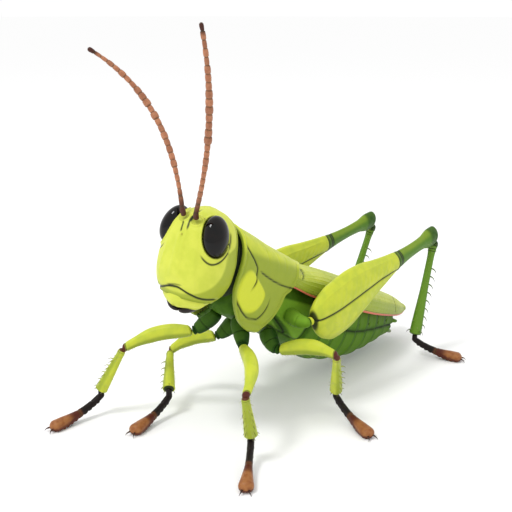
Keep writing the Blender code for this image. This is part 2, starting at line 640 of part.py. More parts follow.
def centre_over_origin(stand):
    """Moves the animal so that the middle of its outline lies over the origin, with its feet at Z = 0."""
    ready = bpy.context.evaluated_depsgraph_get()
    shown = [o.evaluated_get(ready) for o in bpy.data.objects if o.type == "MESH" and not o.hide_render]
    places = [o.matrix_world @ v.co for o in shown for v in o.data.vertices]
    for axis in (0, 1):
        values = [p[axis] for p in places]
        stand.location[axis] = -(min(values) + max(values)) / 2


def build_grasshopper():
    clear_scene()
    stand = empty_at("stand", (0, 0, 0), (0, 0, 0))
    body_frame = empty_at("body_frame", NECK_POINT, (-BODY_PITCH, 0, 0), stand)
    head_frame = empty_at("head_frame", HEAD_SEAT, (HEAD_NOD, HEAD_TILT, HEAD_TURN), body_frame)
    head_frame.scale = (HEAD_SIZE,) * 3
    build_head(head_frame)
    build_mouth(head_frame)
    build_antennae(head_frame)
    build_neck(body_frame)
    build_pronotum(body_frame)
    build_trunk(body_frame)
    build_tail(body_frame)
    build_wings(body_frame)
    build_legs(stand)
    centre_over_origin(stand)


build_grasshopper()
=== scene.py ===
import math

import bmesh
import bpy
import numpy as np
from mathutils import Matrix, Vector


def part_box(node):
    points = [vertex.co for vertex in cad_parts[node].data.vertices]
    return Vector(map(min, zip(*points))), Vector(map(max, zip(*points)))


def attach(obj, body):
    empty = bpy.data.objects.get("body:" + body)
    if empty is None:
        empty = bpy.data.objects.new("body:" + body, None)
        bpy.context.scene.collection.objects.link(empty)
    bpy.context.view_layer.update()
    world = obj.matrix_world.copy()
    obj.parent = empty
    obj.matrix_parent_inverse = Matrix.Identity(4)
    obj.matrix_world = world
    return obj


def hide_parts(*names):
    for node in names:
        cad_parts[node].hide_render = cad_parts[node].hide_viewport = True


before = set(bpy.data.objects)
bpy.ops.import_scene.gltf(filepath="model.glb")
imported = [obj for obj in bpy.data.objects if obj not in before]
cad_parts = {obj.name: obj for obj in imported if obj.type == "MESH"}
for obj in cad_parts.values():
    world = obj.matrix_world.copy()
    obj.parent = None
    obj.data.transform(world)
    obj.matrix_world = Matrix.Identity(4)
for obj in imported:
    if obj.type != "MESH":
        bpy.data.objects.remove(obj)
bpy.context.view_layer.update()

# ---------------------------------------------------------------- head capsule
# The rounded head is one hard shell: a smooth face with a low double keel, ringed sockets for the eyes
# and feelers, a bowed seam above the mouth and a fold under each eye. It is nodded, tilted and turned on
# the neck of a trunk that is raised at the front. A flat grid is rolled into the shell.
MM = 0.001
WELD = 2e-7
SIDES = {"left": 1, "right": -1}
TRUNK_PITCH = -23.0
HEAD_NOD, HEAD_TILT, HEAD_TURN = 8.5, 4.0, 9.0
HEAD_SEAT = np.array((0.0, -0.45, 0.8))
HEAD_SIZE = 1.05
NECK_IN_STANCE = np.array((0.0, -8.0, 19.3))
HEAD_BASE, HEAD_TOP = -4.65, 4.75
FACE_LINE = ((-4.65, -6.0), (-3.2, -6.65), (-1.5, -6.95), (1.0, -7.0), (2.4, -6.85), (3.4, -6.3), (4.2, -5.3),
             (4.75, -3.9))
NAPE_LINE = ((-4.65, -2.2), (-3.7, -1.2), (-2.0, -0.6), (2.0, -0.5), (3.4, -0.8), (4.2, -1.5), (4.75, -2.9))
CHEEK_LINE = ((-4.65, 2.85), (-3.6, 3.5), (-2.2, 3.85), (-0.8, 3.9), (1.0, 3.6), (2.6, 3.1), (3.7, 2.35),
              (4.4, 1.4), (4.75, 0.55))
EYE_CENTRE = np.array((2.6, -5.0, 2.2))
EYE_RADII = np.array((1.25, 1.6, 2.15))
EYE_TILT, EYE_LEAN = -5.0, 14.0
FEELER_ROOT = np.array((0.8, -6.33, 3.5))
HEAD_BASE_CAP, HEAD_TOP_CAP = 0.05, 0.03
FACE_SQUARENESS, NAPE_SQUARENESS = 2.25, 3.6
MOUTH_SEAM = ((-3.4, -4.3), (-2.6, -4.34), (-1.9, -4.2), (-1.3, -3.98), (-0.7, -3.75), (0.0, -3.6),
              (0.5, -3.55), (1.06, -3.67), (1.56, -3.85), (2.12, -4.0), (2.51, -4.12), (2.9, -4.16),
              (3.4, -4.1))
MOUTH_CREASE = ((-0.9, -3.62), (-0.3, -3.46), (0.3, -3.31), (1.15, -3.23))
FOLD_LEVEL = ((-140, 1.36), (-105, 1.33), (-85, 1.25), (-60, 1.2), (-26, 1.22), (10, 1.26))
BROW_LINE = ((0.12, 4.5), (0.22, 3.4), (0.42, 2.2))
BROW_CREASE = ((-0.5, 3.1), (-0.32, 2.6), (-0.25, 1.9))
CHEEK_KEEL = ((-4.3, 2.5), (-2.0, 2.1), (0.8, 1.75))
KEEL_HALF = ((-4.4, 0.78), (-2.0, 0.64), (1.0, 0.5), (3.2, 0.44), (4.6, 0.25))
KEEL_HEIGHT = ((-2.9, 0.0), (-2.2, 0.7), (2.6, 1.0), (3.9, 0.35), (4.5, 0.0))
CHEEK_SHADE = ((-4.6, -6.6), (-3.9, -6.1), (-3.5, -5.7), (-2.7, -5.0), (-1.3, -4.15), (0.5, -3.8),
               (1.5, -2.4), (3.0, -1.6))
HEAD_HEIGHTS = {"keel": 0.14, "keel_groove": -0.05, "mouth_seam": -0.14, "mouth_crease": -0.05,
                "muzzle": -0.05, "cheek_keel": 0.05, "socket_rim": 0.12, "socket_pit": -0.2, "eye_rim": 0.13,
                "eye_hole": -0.5, "eye_fold": -0.07, "nape_groove": -0.12, "brow_lines": -0.06}
# The head's tint is painted shade: over the rear of the cheek, under the head and faintly in the groove
# between the keels.
HEAD_TONES = {"line": {"mouth_seam": 1.0, "mouth_crease": 0.55, "eye_edge": 0.9, "eye_fold": 0.95,
                       "nape_groove": 0.5, "brow_lines": 0.95, "socket_pit": 0.6},
              "tint": {"cheek_shade": 0.7, "base": 0.5, "keel_groove": 0.18}}
FACE_YELLOW = (0.60, 0.645, 0.075)
FACE_SOFT = (0.54, 0.60, 0.062)
FACE_PAINTED_SHADE = (0.27, 0.335, 0.018)
SEAM_DARK = (0.018, 0.028, 0.006)
PIT_DEPTH = 0.00004


def rotation(degrees, axis):
    return np.array(Matrix.Rotation(math.radians(degrees), 3, axis))


# The middle of the left eye's box tells where in the room the neck is.
trunk_turn = rotation(TRUNK_PITCH, "X")
head_on_neck = rotation(HEAD_TURN, "Z") @ rotation(HEAD_TILT, "Y") @ rotation(HEAD_NOD, "X") * HEAD_SIZE
eye_low, eye_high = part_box("eye_left")
neck_in_room = np.array((eye_low + eye_high) / 2) / MM - trunk_turn @ (HEAD_SEAT + head_on_neck @ EYE_CENTRE)
ROOM = (np.eye(3), np.zeros(3))
TRUNK = (trunk_turn, neck_in_room)
HEAD = (trunk_turn @ head_on_neck, neck_in_room + trunk_turn @ HEAD_SEAT)


def to_room(places, axes):
    """Places in millimetres in the room, from places in the trunk's or the head's own axes."""
    turn, origin = axes
    return np.atleast_2d(places) @ turn.T + origin


def through(points, t):
    """A smooth curve through (place, value) pairs that never swings past them."""
    xs, ys = (np.array(column, float) for column in zip(*points))
    gaps = np.diff(xs)
    rises = np.diff(ys) / gaps
    product, total = rises[:-1] * rises[1:], rises[:-1] + rises[1:]
    inner = np.where(product > 0, 2 * product / np.where(total == 0, 1, total), 0)
    slopes = np.concatenate((rises[:1], inner, rises[-1:]))
    t = np.clip(t, xs[0], xs[-1])
    i = np.clip(np.searchsorted(xs, t, side="right") - 1, 0, len(gaps) - 1)
    s = (t - xs[i]) / gaps[i]
    return ((2 * s**3 - 3 * s**2 + 1) * ys[i] + (s**3 - 2 * s**2 + s) * gaps[i] * slopes[i]
            + (3 * s**2 - 2 * s**3) * ys[i + 1] + (s**3 - s**2) * gaps[i] * slopes[i + 1])


def squarer(wave, power):
    return np.sign(wave) * np.abs(wave) ** (2.0 / power)


def ridge(distance, width):
    return np.exp(-((distance / width) ** 2))


def ramp(value, low, high):
    s = np.clip((value - low) / (high - low), 0, 1)
    return s * s * (3 - 2 * s)


def line_mark(first, second, points, width, fade=0.2):
    """A seam on a smooth curve through the points, seen along the third axis and thinner at its ends."""
    bends = np.array(points, float)
    runs = np.concatenate(((0.0,), np.cumsum(np.linalg.norm(np.diff(bends, axis=0), axis=1))))
    spots = np.linspace(0, runs[-1], 36)
    curve = np.stack([through(list(zip(runs, bends[:, i])), spots) for i in (0, 1)], axis=1)
    start, way = curve[:-1], np.diff(curve, axis=0)
    reach = np.stack((first, second), axis=1)[:, None, :] - start
    share = np.clip(np.sum(reach * way, axis=2) / np.sum(way**2, axis=1), 0, 1)
    gaps = np.linalg.norm(reach - share[:, :, None] * way, axis=2)
    nearest = np.argmin(gaps, axis=1)
    rows = np.arange(len(nearest))
    along = (nearest + share[rows, nearest]) / len(way)
    full = ramp(along, -fade / 3, fade) * ramp(-along, -1 - fade / 3, -1 + fade) if fade else 1.0
    return full * ridge(gaps[rows, nearest], width * (0.6 + 0.4 * full))


def outward_normals(form, u, v):
    """Unit normals of a closed form, from its slopes along and across, turned away from its middle."""
    step = 1e-4
    around = form(u + step, v) - form(u - step, v)
    ahead = form(u, np.minimum(v + step, 1)) - form(u, np.maximum(v - step, 0))
    normals = np.cross(around, ahead)
    lengths = np.linalg.norm(normals, axis=1, keepdims=True)
    normals = normals / np.where(lengths < 1e-12, 1, lengths)
    places = form(u, v)
    return normals if np.sum(normals * (places - places.mean(axis=0))) > 0 else -normals


def roll_grid(bm, across, along, form, axes=ROOM, relief=None, tones=None):
    """Adds a flat grid and rolls it into a closed shell. form gives places, relief gives heights and tones
    gives the masks that colour it."""
    if not bm.loops.layers.uv:
        bm.loops.layers.uv.new("Surface")
    first = len(bm.verts)
    bmesh.ops.create_grid(bm, x_segments=across, y_segments=along, size=0.5, calc_uvs=True)
    flat = np.array([vert.co for vert in list(bm.verts)[first:]]) + 0.5
    u, v = flat[:, 0], flat[:, 1]
    places = form(u, v)
    if relief:
        places = places + outward_normals(form, u, v) * relief(u, v, places)[:, None]
    masks = tones(u, v, places) if tones else {}
    layers = {mask: bm.verts.layers.float.get(mask) or bm.verts.layers.float.new(mask) for mask in masks}
    made = list(bm.verts)[first:]
    for mask, layer in layers.items():
        for vert, value in zip(made, np.clip(np.broadcast_to(masks[mask], u.shape), 0, 1)):
            vert[layer] = float(value)
    for vert, spot in zip(made, to_room(places, axes) * MM):
        vert.co = spot


def placed_piece(name, bm):
    mesh = bpy.data.meshes.new(name)
    bm.to_mesh(mesh)
    bm.free()
    piece = bpy.data.objects.new(name, mesh)
    bpy.context.scene.collection.objects.link(piece)
    return piece


def finished_piece(name, bm):
    """Closes what was rolled up, turns every face outwards and makes the named piece."""
    bmesh.ops.remove_doubles(bm, verts=bm.verts, dist=WELD)
    loose = [edge for edge in bm.edges if not edge.link_faces]
    bmesh.ops.delete(bm, geom=loose, context="EDGES")
    bmesh.ops.holes_fill(bm, edges=[edge for edge in bm.edges if edge.is_boundary], sides=0)
    bmesh.ops.recalc_face_normals(bm, faces=bm.faces)
    piece = placed_piece(name, bm)
    piece.data.shade_smooth()
    return piece


def cast_shell(name, across, along, form, relief=None, tones=None, axes=ROOM):
    bm = bmesh.new()
    roll_grid(bm, across, along, form, axes, relief, tones)
    return finished_piece(name, bm)


def from_marks(marks_at, heights, tones):
    """The relief and the tones of a shell, both added up from the same soft marks."""
    def added(marks, weights):
        return sum(weight * marks[mark] for mark, weight in weights.items())

    def relief(u, v, places):
        return added(marks_at(u, v, places), heights)

    def toned(u, v, places):
        marks = marks_at(u, v, places)
        return {mask: added(marks, weights) for mask, weights in tones.items()}

    return relief, toned


def wear(piece, material, slot, *nodes):
    """Gives a piece its finish and its place in the frame. It stands for the named CAD nodes."""
    piece.data.materials.append(material)
    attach(piece, "root")
    if nodes:
        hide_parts(*nodes)
    return piece


def set_inputs(node, settings):
    for name, value in settings.items():
        node.inputs[name].default_value = value
    return node


def new_material(name, settings):
    """A new material with its nodes, its links and its shader, whose inputs are set."""
    made = bpy.data.materials.new(name)
    made.use_nodes = True
    nodes, links = made.node_tree.nodes, made.node_tree.links
    return made, nodes, links, set_inputs(nodes["Principled BSDF"], settings)


def shell_material(name, main, mottle, tint=None, third=None, line=SEAM_DARK, roughness=0.42, pit=0.0004,
                   pit_strength=0.18, coat=0.06, mottle_size=0.0013, gleam=0.2):
    """Hard insect shell: mottled colour, up to two painted zones, dark seams and fine pits in a waxy skin. On
    some pieces the zones are painted shade or painted light. gleam is how much its bare face mirrors and coat
    how thick the wax lies."""
    made, nodes, links, shader = new_material(name, {
        "Coat Weight": coat, "Coat Roughness": 0.25, "Specular IOR Level": gleam, "Subsurface Weight": 0.06,
        "Subsurface Radius": (0.9, 1.0, 0.25), "Subsurface Scale": 0.0005})
    place = nodes.new("ShaderNodeTexCoord").outputs["Object"]

    def noise(size, detail):
        texture = set_inputs(nodes.new("ShaderNodeTexNoise"), {"Scale": 1.0 / size, "Detail": detail})
        links.new(place, texture.inputs["Vector"])
        return texture.outputs["Fac"]

    def mixed(mask, low, high, first, second):
        """The first colour where the mask is low, the second where it is high."""
        spread = set_inputs(nodes.new("ShaderNodeMapRange"), {"From Min": low, "From Max": high})
        spread.interpolation_type = "SMOOTHSTEP"
        links.new(mask, spread.inputs["Value"])
        mix = nodes.new("ShaderNodeMix")
        mix.data_type = "RGBA"
        factor, first_socket, second_socket = (mix.inputs[i] for i in (0, 6, 7))
        links.new(spread.outputs["Result"], factor)
        for socket, colour in ((first_socket, first), (second_socket, second)):
            if isinstance(colour, tuple):
                socket.default_value = (*colour, 1.0)
            else:
                links.new(colour, socket)
        return mix.outputs[2]

    def painted(mask_name):
        attribute = nodes.new("ShaderNodeAttribute")
        attribute.attribute_name = mask_name
        return attribute.outputs["Fac"]

    colour = mixed(noise(mottle_size, 4.0), 0.36, 0.68, main, mottle)
    for mask, paint in (("tint", tint), ("third", third), ("line", line)):
        if paint:
            colour = mixed(painted(mask), 0.0, 1.0, colour, paint)
    links.new(colour, shader.inputs["Base Color"])

    gloss = set_inputs(nodes.new("ShaderNodeMapRange"),
                       {"To Min": roughness - 0.08, "To Max": roughness + 0.12})
    links.new(noise(mottle_size * 0.5, 3.0), gloss.inputs["Value"])
    links.new(gloss.outputs["Result"], shader.inputs["Roughness"])

    if pit_strength:
        pits = set_inputs(nodes.new("ShaderNodeTexVoronoi"), {"Scale": 1.0 / pit})
        links.new(place, pits.inputs["Vector"])
        dent = set_inputs(nodes.new("ShaderNodeBump"), {"Strength": pit_strength, "Distance": PIT_DEPTH})
        links.new(pits.outputs["Distance"], dent.inputs["Height"])
        links.new(dent.outputs["Normal"], shader.inputs["Normal"])
    return made


def head_form(u, v):
    """u runs round the head from the nape, v from the middle of the base to the top."""
    level = np.clip((v - HEAD_BASE_CAP) / (1 - HEAD_BASE_CAP - HEAD_TOP_CAP), 0, 1)
    level = 0.6 * level + 0.4 * (1 - np.cos(math.pi * level)) / 2
    z = HEAD_BASE + (HEAD_TOP - HEAD_BASE) * level
    over_top = np.clip((v - 1 + HEAD_TOP_CAP) / HEAD_TOP_CAP, 0, 1)
    closing = np.where(v < HEAD_BASE_CAP, np.sin(math.pi / 2 * np.clip(v / HEAD_BASE_CAP, 0, 1)),
                       np.cos(math.pi / 2 * over_top))
    face, nape, cheek = through(FACE_LINE, z), through(NAPE_LINE, z), through(CHEEK_LINE, z)
    angle = 2 * math.pi * (u + 0.5)
    power = np.where(np.cos(angle) < 0, NAPE_SQUARENESS, FACE_SQUARENESS)
    middle = (face + nape) / 2
    x = cheek * squarer(np.sin(angle), power) * closing
    y = middle - (middle - face) * squarer(np.cos(angle), power) * closing
    return np.stack((x, y, z + np.where(v > 0.5, 0.1, -0.1) * (1 - closing)), axis=1)


def eye_turn(side):
    return rotation(EYE_TILT, "X") @ rotation(-EYE_LEAN * side, "Y")


def eye_ring(places):
    """How far out of the nearer eye a place is, 1 on its surface, and the place's turn round that eye."""
    near = []
    for side in SIDES.values():
        inside = (places - EYE_CENTRE * (side, 1, 1)) @ eye_turn(side) / EYE_RADII
        near.append((np.linalg.norm(inside, axis=1), np.degrees(np.arctan2(inside[:, 2], inside[:, 1]))))
    left = near[0][0] < near[1][0]
    return np.where(left, near[0][0], near[1][0]), np.where(left, near[0][1], near[1][1])


def head_marks(u, v, places):
    """The seams and swellings of the face, and the painted shade on it, as soft masks from 0 to 1."""
    x, y, z = places.T
    side = np.abs(x)
    front = ramp(-y, 3.6, 4.8)
    keel_half, keel_high = through(KEEL_HALF, z), through(KEEL_HEIGHT, z)
    socket = np.linalg.norm(np.stack((side, y, z), axis=1) - FEELER_ROOT, axis=1)
    eye, turn = eye_ring(places)
    fold_reach = ramp(turn, -138, -118) * ramp(-turn, -24, -4)
    fold_width = 0.055 + 0.03 * ramp(turn, -70, 0)
    return {
        "keel": front * keel_high / (1 + np.exp((side - keel_half) / 0.09)),
        # The groove between the keels is also painted a little darker, as painted shade.
        "keel_groove": front * ridge(x, keel_half * 0.5) * ramp(z, 0.6, 1.2) * ramp(-z, -3.2, -2.6),
        "mouth_seam": ramp(-y, 2.6, 3.6) * line_mark(x, z, MOUTH_SEAM, 0.13, fade=0.0),
        "mouth_crease": front * line_mark(x, z, MOUTH_CREASE, 0.1),
        "muzzle": ramp(-y, 3.0, 4.5) * ramp(through(MOUTH_SEAM, x) - z, 0.0, 0.35),
        "cheek_keel": front * ridge(side - through(CHEEK_KEEL, z), 0.2) * ramp(-z, -1.0, 0.0)
        * ramp(z, -3.4, -2.9),
        "socket_rim": ridge(socket - 0.7, 0.12),
        "socket_pit": ridge(socket, 0.48),
        "eye_rim": ridge(eye - 1.1, 0.055),
        "eye_hole": ramp(-eye, -1.03, -0.93),
        "eye_edge": ridge(eye - 1.03, 0.04),
        "eye_fold": ridge(eye - through(FOLD_LEVEL, turn), fold_width) * fold_reach * ramp(side, 1.4, 2.0),
        "nape_groove": ridge(y + 1.75, 0.12) * ramp(side + np.abs(z) * 0.2, 1.6, 2.4),
        "brow_lines": line_mark(x, z, BROW_LINE, 0.12) + line_mark(x, z, BROW_CREASE, 0.11) * front,
        "cheek_shade": ramp(y - through(CHEEK_SHADE, z), -0.25, 0.35),
        # Painted shade under the head.
        "base": ramp(-z, 4.3, 4.7),
    }


head_shell = shell_material("head_shell", FACE_YELLOW, FACE_SOFT, tint=FACE_PAINTED_SHADE, pit=0.00034,
                            pit_strength=0.12)
head = cast_shell("head_capsule", 300, 290, head_form,
                  *from_marks(head_marks, HEAD_HEIGHTS, HEAD_TONES), HEAD)
wear(head, head_shell, "face_green", "head")

# ---------------------------------------------------------------- eyes
# Two tall oval compound eyes, glossy black-brown domes whose facets show only as a fine bump, and three
# simple eyes on the forehead, which are small amber beads.
EYE_BLACK = (0.0012, 0.001, 0.001)
EYE_BROWN = (0.006, 0.003, 0.002)
EYE_BANDS = 900.0
FACET = 0.00006
FACET_DEPTH = 0.00001
SIMPLE_EYES = ((0.0, -7.1, 1.75), (1.5, -6.02, 3.75), (-1.5, -6.02, 3.75))
SIMPLE_EYE_RADIUS = 0.1


def eye_material():
    made, nodes, links, shader = new_material("compound_eye", {
        "Coat Weight": 1.0, "Coat Roughness": 0.03, "Coat IOR": 1.34, "Specular IOR Level": 0.0,
        "Roughness": 0.3})
    place = nodes.new("ShaderNodeTexCoord").outputs["Object"]
    bands = set_inputs(nodes.new("ShaderNodeTexNoise"), {"Scale": EYE_BANDS, "Detail": 3.0})
    links.new(place, bands.inputs["Vector"])
    shades = nodes.new("ShaderNodeValToRGB")
    for stop, position, shade in zip(shades.color_ramp.elements, (0.42, 0.72), (EYE_BLACK, EYE_BROWN)):
        stop.position = position
        stop.color = (*shade, 1)
    links.new(bands.outputs["Fac"], shades.inputs["Fac"])
    links.new(shades.outputs["Color"], shader.inputs["Base Color"])
    facets = set_inputs(nodes.new("ShaderNodeTexVoronoi"), {"Scale": 1.0 / FACET, "Randomness": 0.15})
    links.new(place, facets.inputs["Vector"])
    lens = set_inputs(nodes.new("ShaderNodeBump"), {"Strength": 0.06, "Distance": FACET_DEPTH})
    lens.invert = True
    links.new(facets.outputs["Distance"], lens.inputs["Height"])
    links.new(lens.outputs["Normal"], shader.inputs["Normal"])
    return made


compound_eye = eye_material()
for word, side in SIDES.items():
    bm = bmesh.new()
    bmesh.ops.create_uvsphere(bm, u_segments=96, v_segments=64, radius=1.0)
    ball = np.array([vert.co for vert in bm.verts]) * EYE_RADII @ eye_turn(side).T
    for vert, spot in zip(bm.verts, to_room(ball + EYE_CENTRE * (side, 1, 1), HEAD) * MM):
        vert.co = spot
    wear(finished_piece(f"compound_eye_{word}", bm), compound_eye, "eye_black", f"eye_{word}")

bm = bmesh.new()
for place in SIMPLE_EYES:
    bmesh.ops.create_uvsphere(bm, u_segments=24, v_segments=16, radius=SIMPLE_EYE_RADIUS * MM,
                              matrix=Matrix.Translation(to_room(place, HEAD)[0] * MM))
amber_bead = shell_material("amber_bead", (0.48, 0.47, 0.07), (0.42, 0.40, 0.05), line=None, roughness=0.18,
                            coat=0.5, pit_strength=0.0)
wear(finished_piece("simple_eyes", bm), amber_bead, "eye_black")

# ---------------------------------------------------------------- feelers
# Each feeler has a slim dark base joint, a short second joint and two dozen slightly uneven rings, on one
# bent line. The left one stands nearly straight and the right one arches outwards.
FEELER_LENGTH = 20.0
FEELER_SOCKET_WAY = np.array((0.0, -0.7, 0.72))
FEELER_SOCKET_BEND = 0.05
FEELER_WAYS = {"left": ((0.31, -0.43, 0.85), (-0.19, -0.44, 0.88)),
               "right": ((-0.45, 0.05, 0.89), (-0.7, -0.66, 0.27))}
FEELER_RADII = ((0.0, 0.26), (0.02, 0.29), (0.035, 0.28), (0.05, 0.23), (0.062, 0.25), (0.08, 0.25),
                (0.1, 0.24), (0.3, 0.3), (0.5, 0.35), (0.7, 0.31), (0.85, 0.26), (0.95, 0.22), (1.0, 0.26))
FEELER_RINGS = 24
FEELER_BASE = 0.1
BASE_JOINTS = (0.047, 0.097)
FEELER_BROWN = (0.36, 0.14, 0.07)
FEELER_PALE = (0.46, 0.20, 0.105)
FEELER_DARK = (0.06, 0.017, 0.010)


def unit(vector):
    return np.asarray(vector, float) / np.linalg.norm(vector)


def feeler_line(word, count):
    side = SIDES[word]
    socket = unit(FEELER_SOCKET_WAY)
    first, last = (unit(way) for way in FEELER_WAYS[word])
    points = [FEELER_ROOT * (side, 1, 1)]
    for share in (np.arange(count - 1) + 0.5) / (count - 1):
        way = unit(first + (last - first) * share**1.4)
        way = unit(way + (socket - way) * max(0.0, 1 - share / FEELER_SOCKET_BEND))
        points.append(points[-1] + way * FEELER_LENGTH / (count - 1))
    return np.array(points)


def tube_form(line, radius, up=(1.0, 0.0, 0.0)):
    """A round shell about a bent line. radius(v) closes to nothing at both ends."""
    tangents = np.gradient(line, axis=0)
    tangents /= np.linalg.norm(tangents, axis=1, keepdims=True)
    across = []
    carried = np.asarray(up, float)
    for tangent in tangents:
        carried = unit(carried - tangent * np.dot(carried, tangent))
        across.append(carried)
    across = np.array(across)
    tall = np.cross(tangents, across)
    shares = np.linspace(0, 1, len(line))

    def form(u, v):
        middle, wide, high = (np.stack([np.interp(v, shares, column[:, i]) for i in range(3)], axis=1)
                              for column in (line, across, tall))
        angle = 2 * math.pi * u[:, None]
        return middle + radius(v)[:, None] * (wide * np.cos(angle) + high * np.sin(angle))

    return form


def rounded_ends(v, first, last):
    """1 along a tube, closing in a quarter circle over the given shares of its length at each end."""
    start = np.sqrt(np.clip(1 - (1 - np.clip(v / first, 0, 1)) ** 2, 0, 1))
    end = np.sqrt(np.clip(1 - (1 - np.clip((1 - v) / last, 0, 1)) ** 2, 0, 1))
    return start * end


def ring_gap(v):
    """Past the base joints: how far a place is from the nearer end of its ring, and the ring's number."""
    run = np.clip((v - FEELER_BASE) / (1 - FEELER_BASE), 0, 1) * FEELER_RINGS
    phase = run - np.floor(run)
    return np.minimum(phase, 1 - phase), np.floor(run).astype(int)


feeler_chitin = shell_material("feeler_chitin", FEELER_BROWN, FEELER_PALE, tint=FEELER_DARK, roughness=0.42,
                               pit=0.00016, coat=0.1, mottle_size=0.0005)
for word, seed in (("left", 5), ("right", 6)):
    swell = np.random.default_rng(seed).uniform(0.8, 1.1, FEELER_RINGS + 1)
    shade = np.random.default_rng(seed + 10).uniform(0.0, 0.35, FEELER_RINGS + 1)

    def feeler_radius(v, swell=swell):
        gap, number = ring_gap(v)
        rings = np.where(v > FEELER_BASE, swell[number] * (0.94 + 0.22 * gap), 1.0)
        waist = 1 - np.where(v > FEELER_BASE, 0.16 * ridge(gap, 0.07), 0)
        return through(FEELER_RADII, v) * rings * waist * rounded_ends(v, 0.006, 0.012)

    def feeler_tones(u, v, places, shade=shade):
        gap, number = ring_gap(v)
        ringed = np.where(v > FEELER_BASE, 1.0, 0.0)
        joints = ringed * ridge(gap, 0.12) + sum(ridge(v - joint, 0.006) for joint in BASE_JOINTS)
        dark_ends = 0.95 * ramp(v, 0.93, 0.98) + 0.85 * ramp(-v, -0.16, -0.04)
        return {"line": 0.5 * joints, "tint": dark_ends + ringed * shade[number]}

    feeler = cast_shell(f"feeler_{word}", 24, 620, tube_form(feeler_line(word, 401), feeler_radius),
                        tones=feeler_tones, axes=HEAD)
    wear(feeler, feeler_chitin, "horn_brown", f"antenna_{word}")

# ---------------------------------------------------------------- mouthparts
# The wide upper lip hangs from the face and wraps back at its sides. Behind it two horny jaws with black
# ends slant in towards each other. The lower lip closes the mouth, and a jointed palp hangs at each side.
LIP_STATIONS = ((-4.4, 2.75, -5.5, 0.55), (-4.8, 2.68, -5.48, 0.58), (-5.2, 2.4, -5.4, 0.56),
                (-5.5, 1.9, -5.28, 0.5), (-5.8, 1.2, -5.15, 0.4))
LIP_WRAP = 1.3
JAW_STATIONS = ((-4.5, 1.0, -3.85, 0.82), (-5.5, 0.85, -4.1, 0.75), (-6.35, 0.6, -4.5, 0.6))
JAW_PLACE, JAW_SLANT = 1.75, 0.85
LOWER_LIP_STATIONS = ((-4.5, 1.5, -2.4, 0.38), (-5.4, 1.55, -2.5, 0.42), (-6.0, 1.15, -2.7, 0.38))
PALP_LINE = ((2.2, -2.3, -4.9), (2.2, -2.4, -5.4), (2.0, -2.75, -5.85), (1.75, -3.1, -6.2),
             (1.6, -3.3, -6.45))
PALP_JOINTS = (0.27, 0.5, 0.76)
JAW_BLACK = (0.012, 0.007, 0.006)


def sizes_at(stations, t):
    """The sizes at t, from rows that give a place and the sizes there."""
    rows = sorted(stations)
    return [through([(row[0], row[k]) for row in rows], t) for k in range(1, len(rows[0]))]


def hanging_form(stations, x_at=lambda z: 0.0 * z, power=2.6, wrap=0.0):
    """A plate that hangs down: half width, front-to-back middle and half depth at each height. wrap bends
    its sides back."""
    first, last = stations[0][0], stations[-1][0]

    def form(u, v):
        z = first + (last - first) * v
        width, middle, depth = sizes_at(stations, z)
        closing = rounded_ends(v, 0.06, 0.22)
        angle = 2 * math.pi * u
        wide, deep = squarer(np.sin(angle), power), squarer(np.cos(angle), power)
        return np.stack((x_at(z) + width * closing * wide,
                         middle + closing * (wrap * wide**2 - depth * deep), z), axis=1)

    return form


def smooth_line(bends, count):
    """Points on a smooth curve through a few bends."""
    shares, spots = np.linspace(0, 1, len(bends)), np.linspace(0, 1, count)
    return np.stack([through(list(zip(shares, column)), spots) for column in bends.T], axis=1)


def jaw_middle(side):
    return lambda z: side * (JAW_PLACE + (z + 4.8) * JAW_SLANT)


def lip_relief(u, v, places):
    x, y, z = places.T
    notch = -0.2 * ridge(x, 0.16) * ramp(-z, 5.5, 5.85)
    return notch - 0.03 * ridge(x, 0.09) * ramp(-z, 5.1, 5.5)


def lip_tones(u, v, places):
    x, y, z = places.T
    return {"line": 0.3 * ridge(x, 0.07) * ramp(-z, 5.2, 5.6), "tint": 0.8 * ramp(-z, 5.66, 5.8)}


def jaw_tones(u, v, places):
    return {"tint": ramp(-places[:, 2], 5.5, 5.66)}


def palp_radius(v):
    waists = sum(ridge(v - joint, 0.022) for joint in PALP_JOINTS)
    return (0.23 + 0.03 * ramp(v, 0.8, 0.95)) * (1 - 0.25 * waists) * rounded_ends(v, 0.04, 0.07)


def palp_tones(u, v, places):
    return {"line": 0.7 * sum(ridge(v - joint, 0.014) for joint in PALP_JOINTS)}


def lower_lip_tones(u, v, places):
    return {"line": 0.8 * ridge(places[:, 0], 0.08), "tint": 0.7 * ramp(v, 0.3, 0.8)}


upper_lip = cast_shell("upper_lip", 96, 64, hanging_form(LIP_STATIONS, power=2.2, wrap=LIP_WRAP), lip_relief,
                       lip_tones, HEAD)
lip_shell = shell_material("lip_shell", FACE_YELLOW, FACE_SOFT, tint=(0.14, 0.15, 0.03), pit=0.0003,
                           pit_strength=0.12)
wear(upper_lip, lip_shell, "face_green", "labrum")

jaw_horn = shell_material("jaw_horn", FACE_SOFT, (0.36, 0.41, 0.045), tint=JAW_BLACK, line=None,
                          roughness=0.3, pit=0.0004, coat=0.2)
palp_skin = shell_material("palp_skin", (0.05, 0.11, 0.014), (0.034, 0.085, 0.011), tint=JAW_BLACK,
                           roughness=0.45, pit=0.0002, gleam=0.08)
for word, side in SIDES.items():
    jaw = cast_shell(f"jaw_{word}", 48, 32, hanging_form(JAW_STATIONS, jaw_middle(side), 2.3),
                     tones=jaw_tones, axes=HEAD)
    wear(jaw, jaw_horn, "jaw_black", f"mandible_{word}")
    palp = cast_shell(f"mouth_palp_{word}", 20, 96,
                      tube_form(smooth_line(np.array(PALP_LINE) * (side, 1, 1), 61), palp_radius),
                      tones=palp_tones, axes=HEAD)
    wear(palp, palp_skin, "leaf_green", f"palp_{word}")

lower_lip = cast_shell("lower_lip", 72, 40, hanging_form(LOWER_LIP_STATIONS),
                       lambda u, v, places: -0.14 * ridge(places[:, 0], 0.08), lower_lip_tones, HEAD)
wear(lower_lip, palp_skin, "leaf_green", "labium")

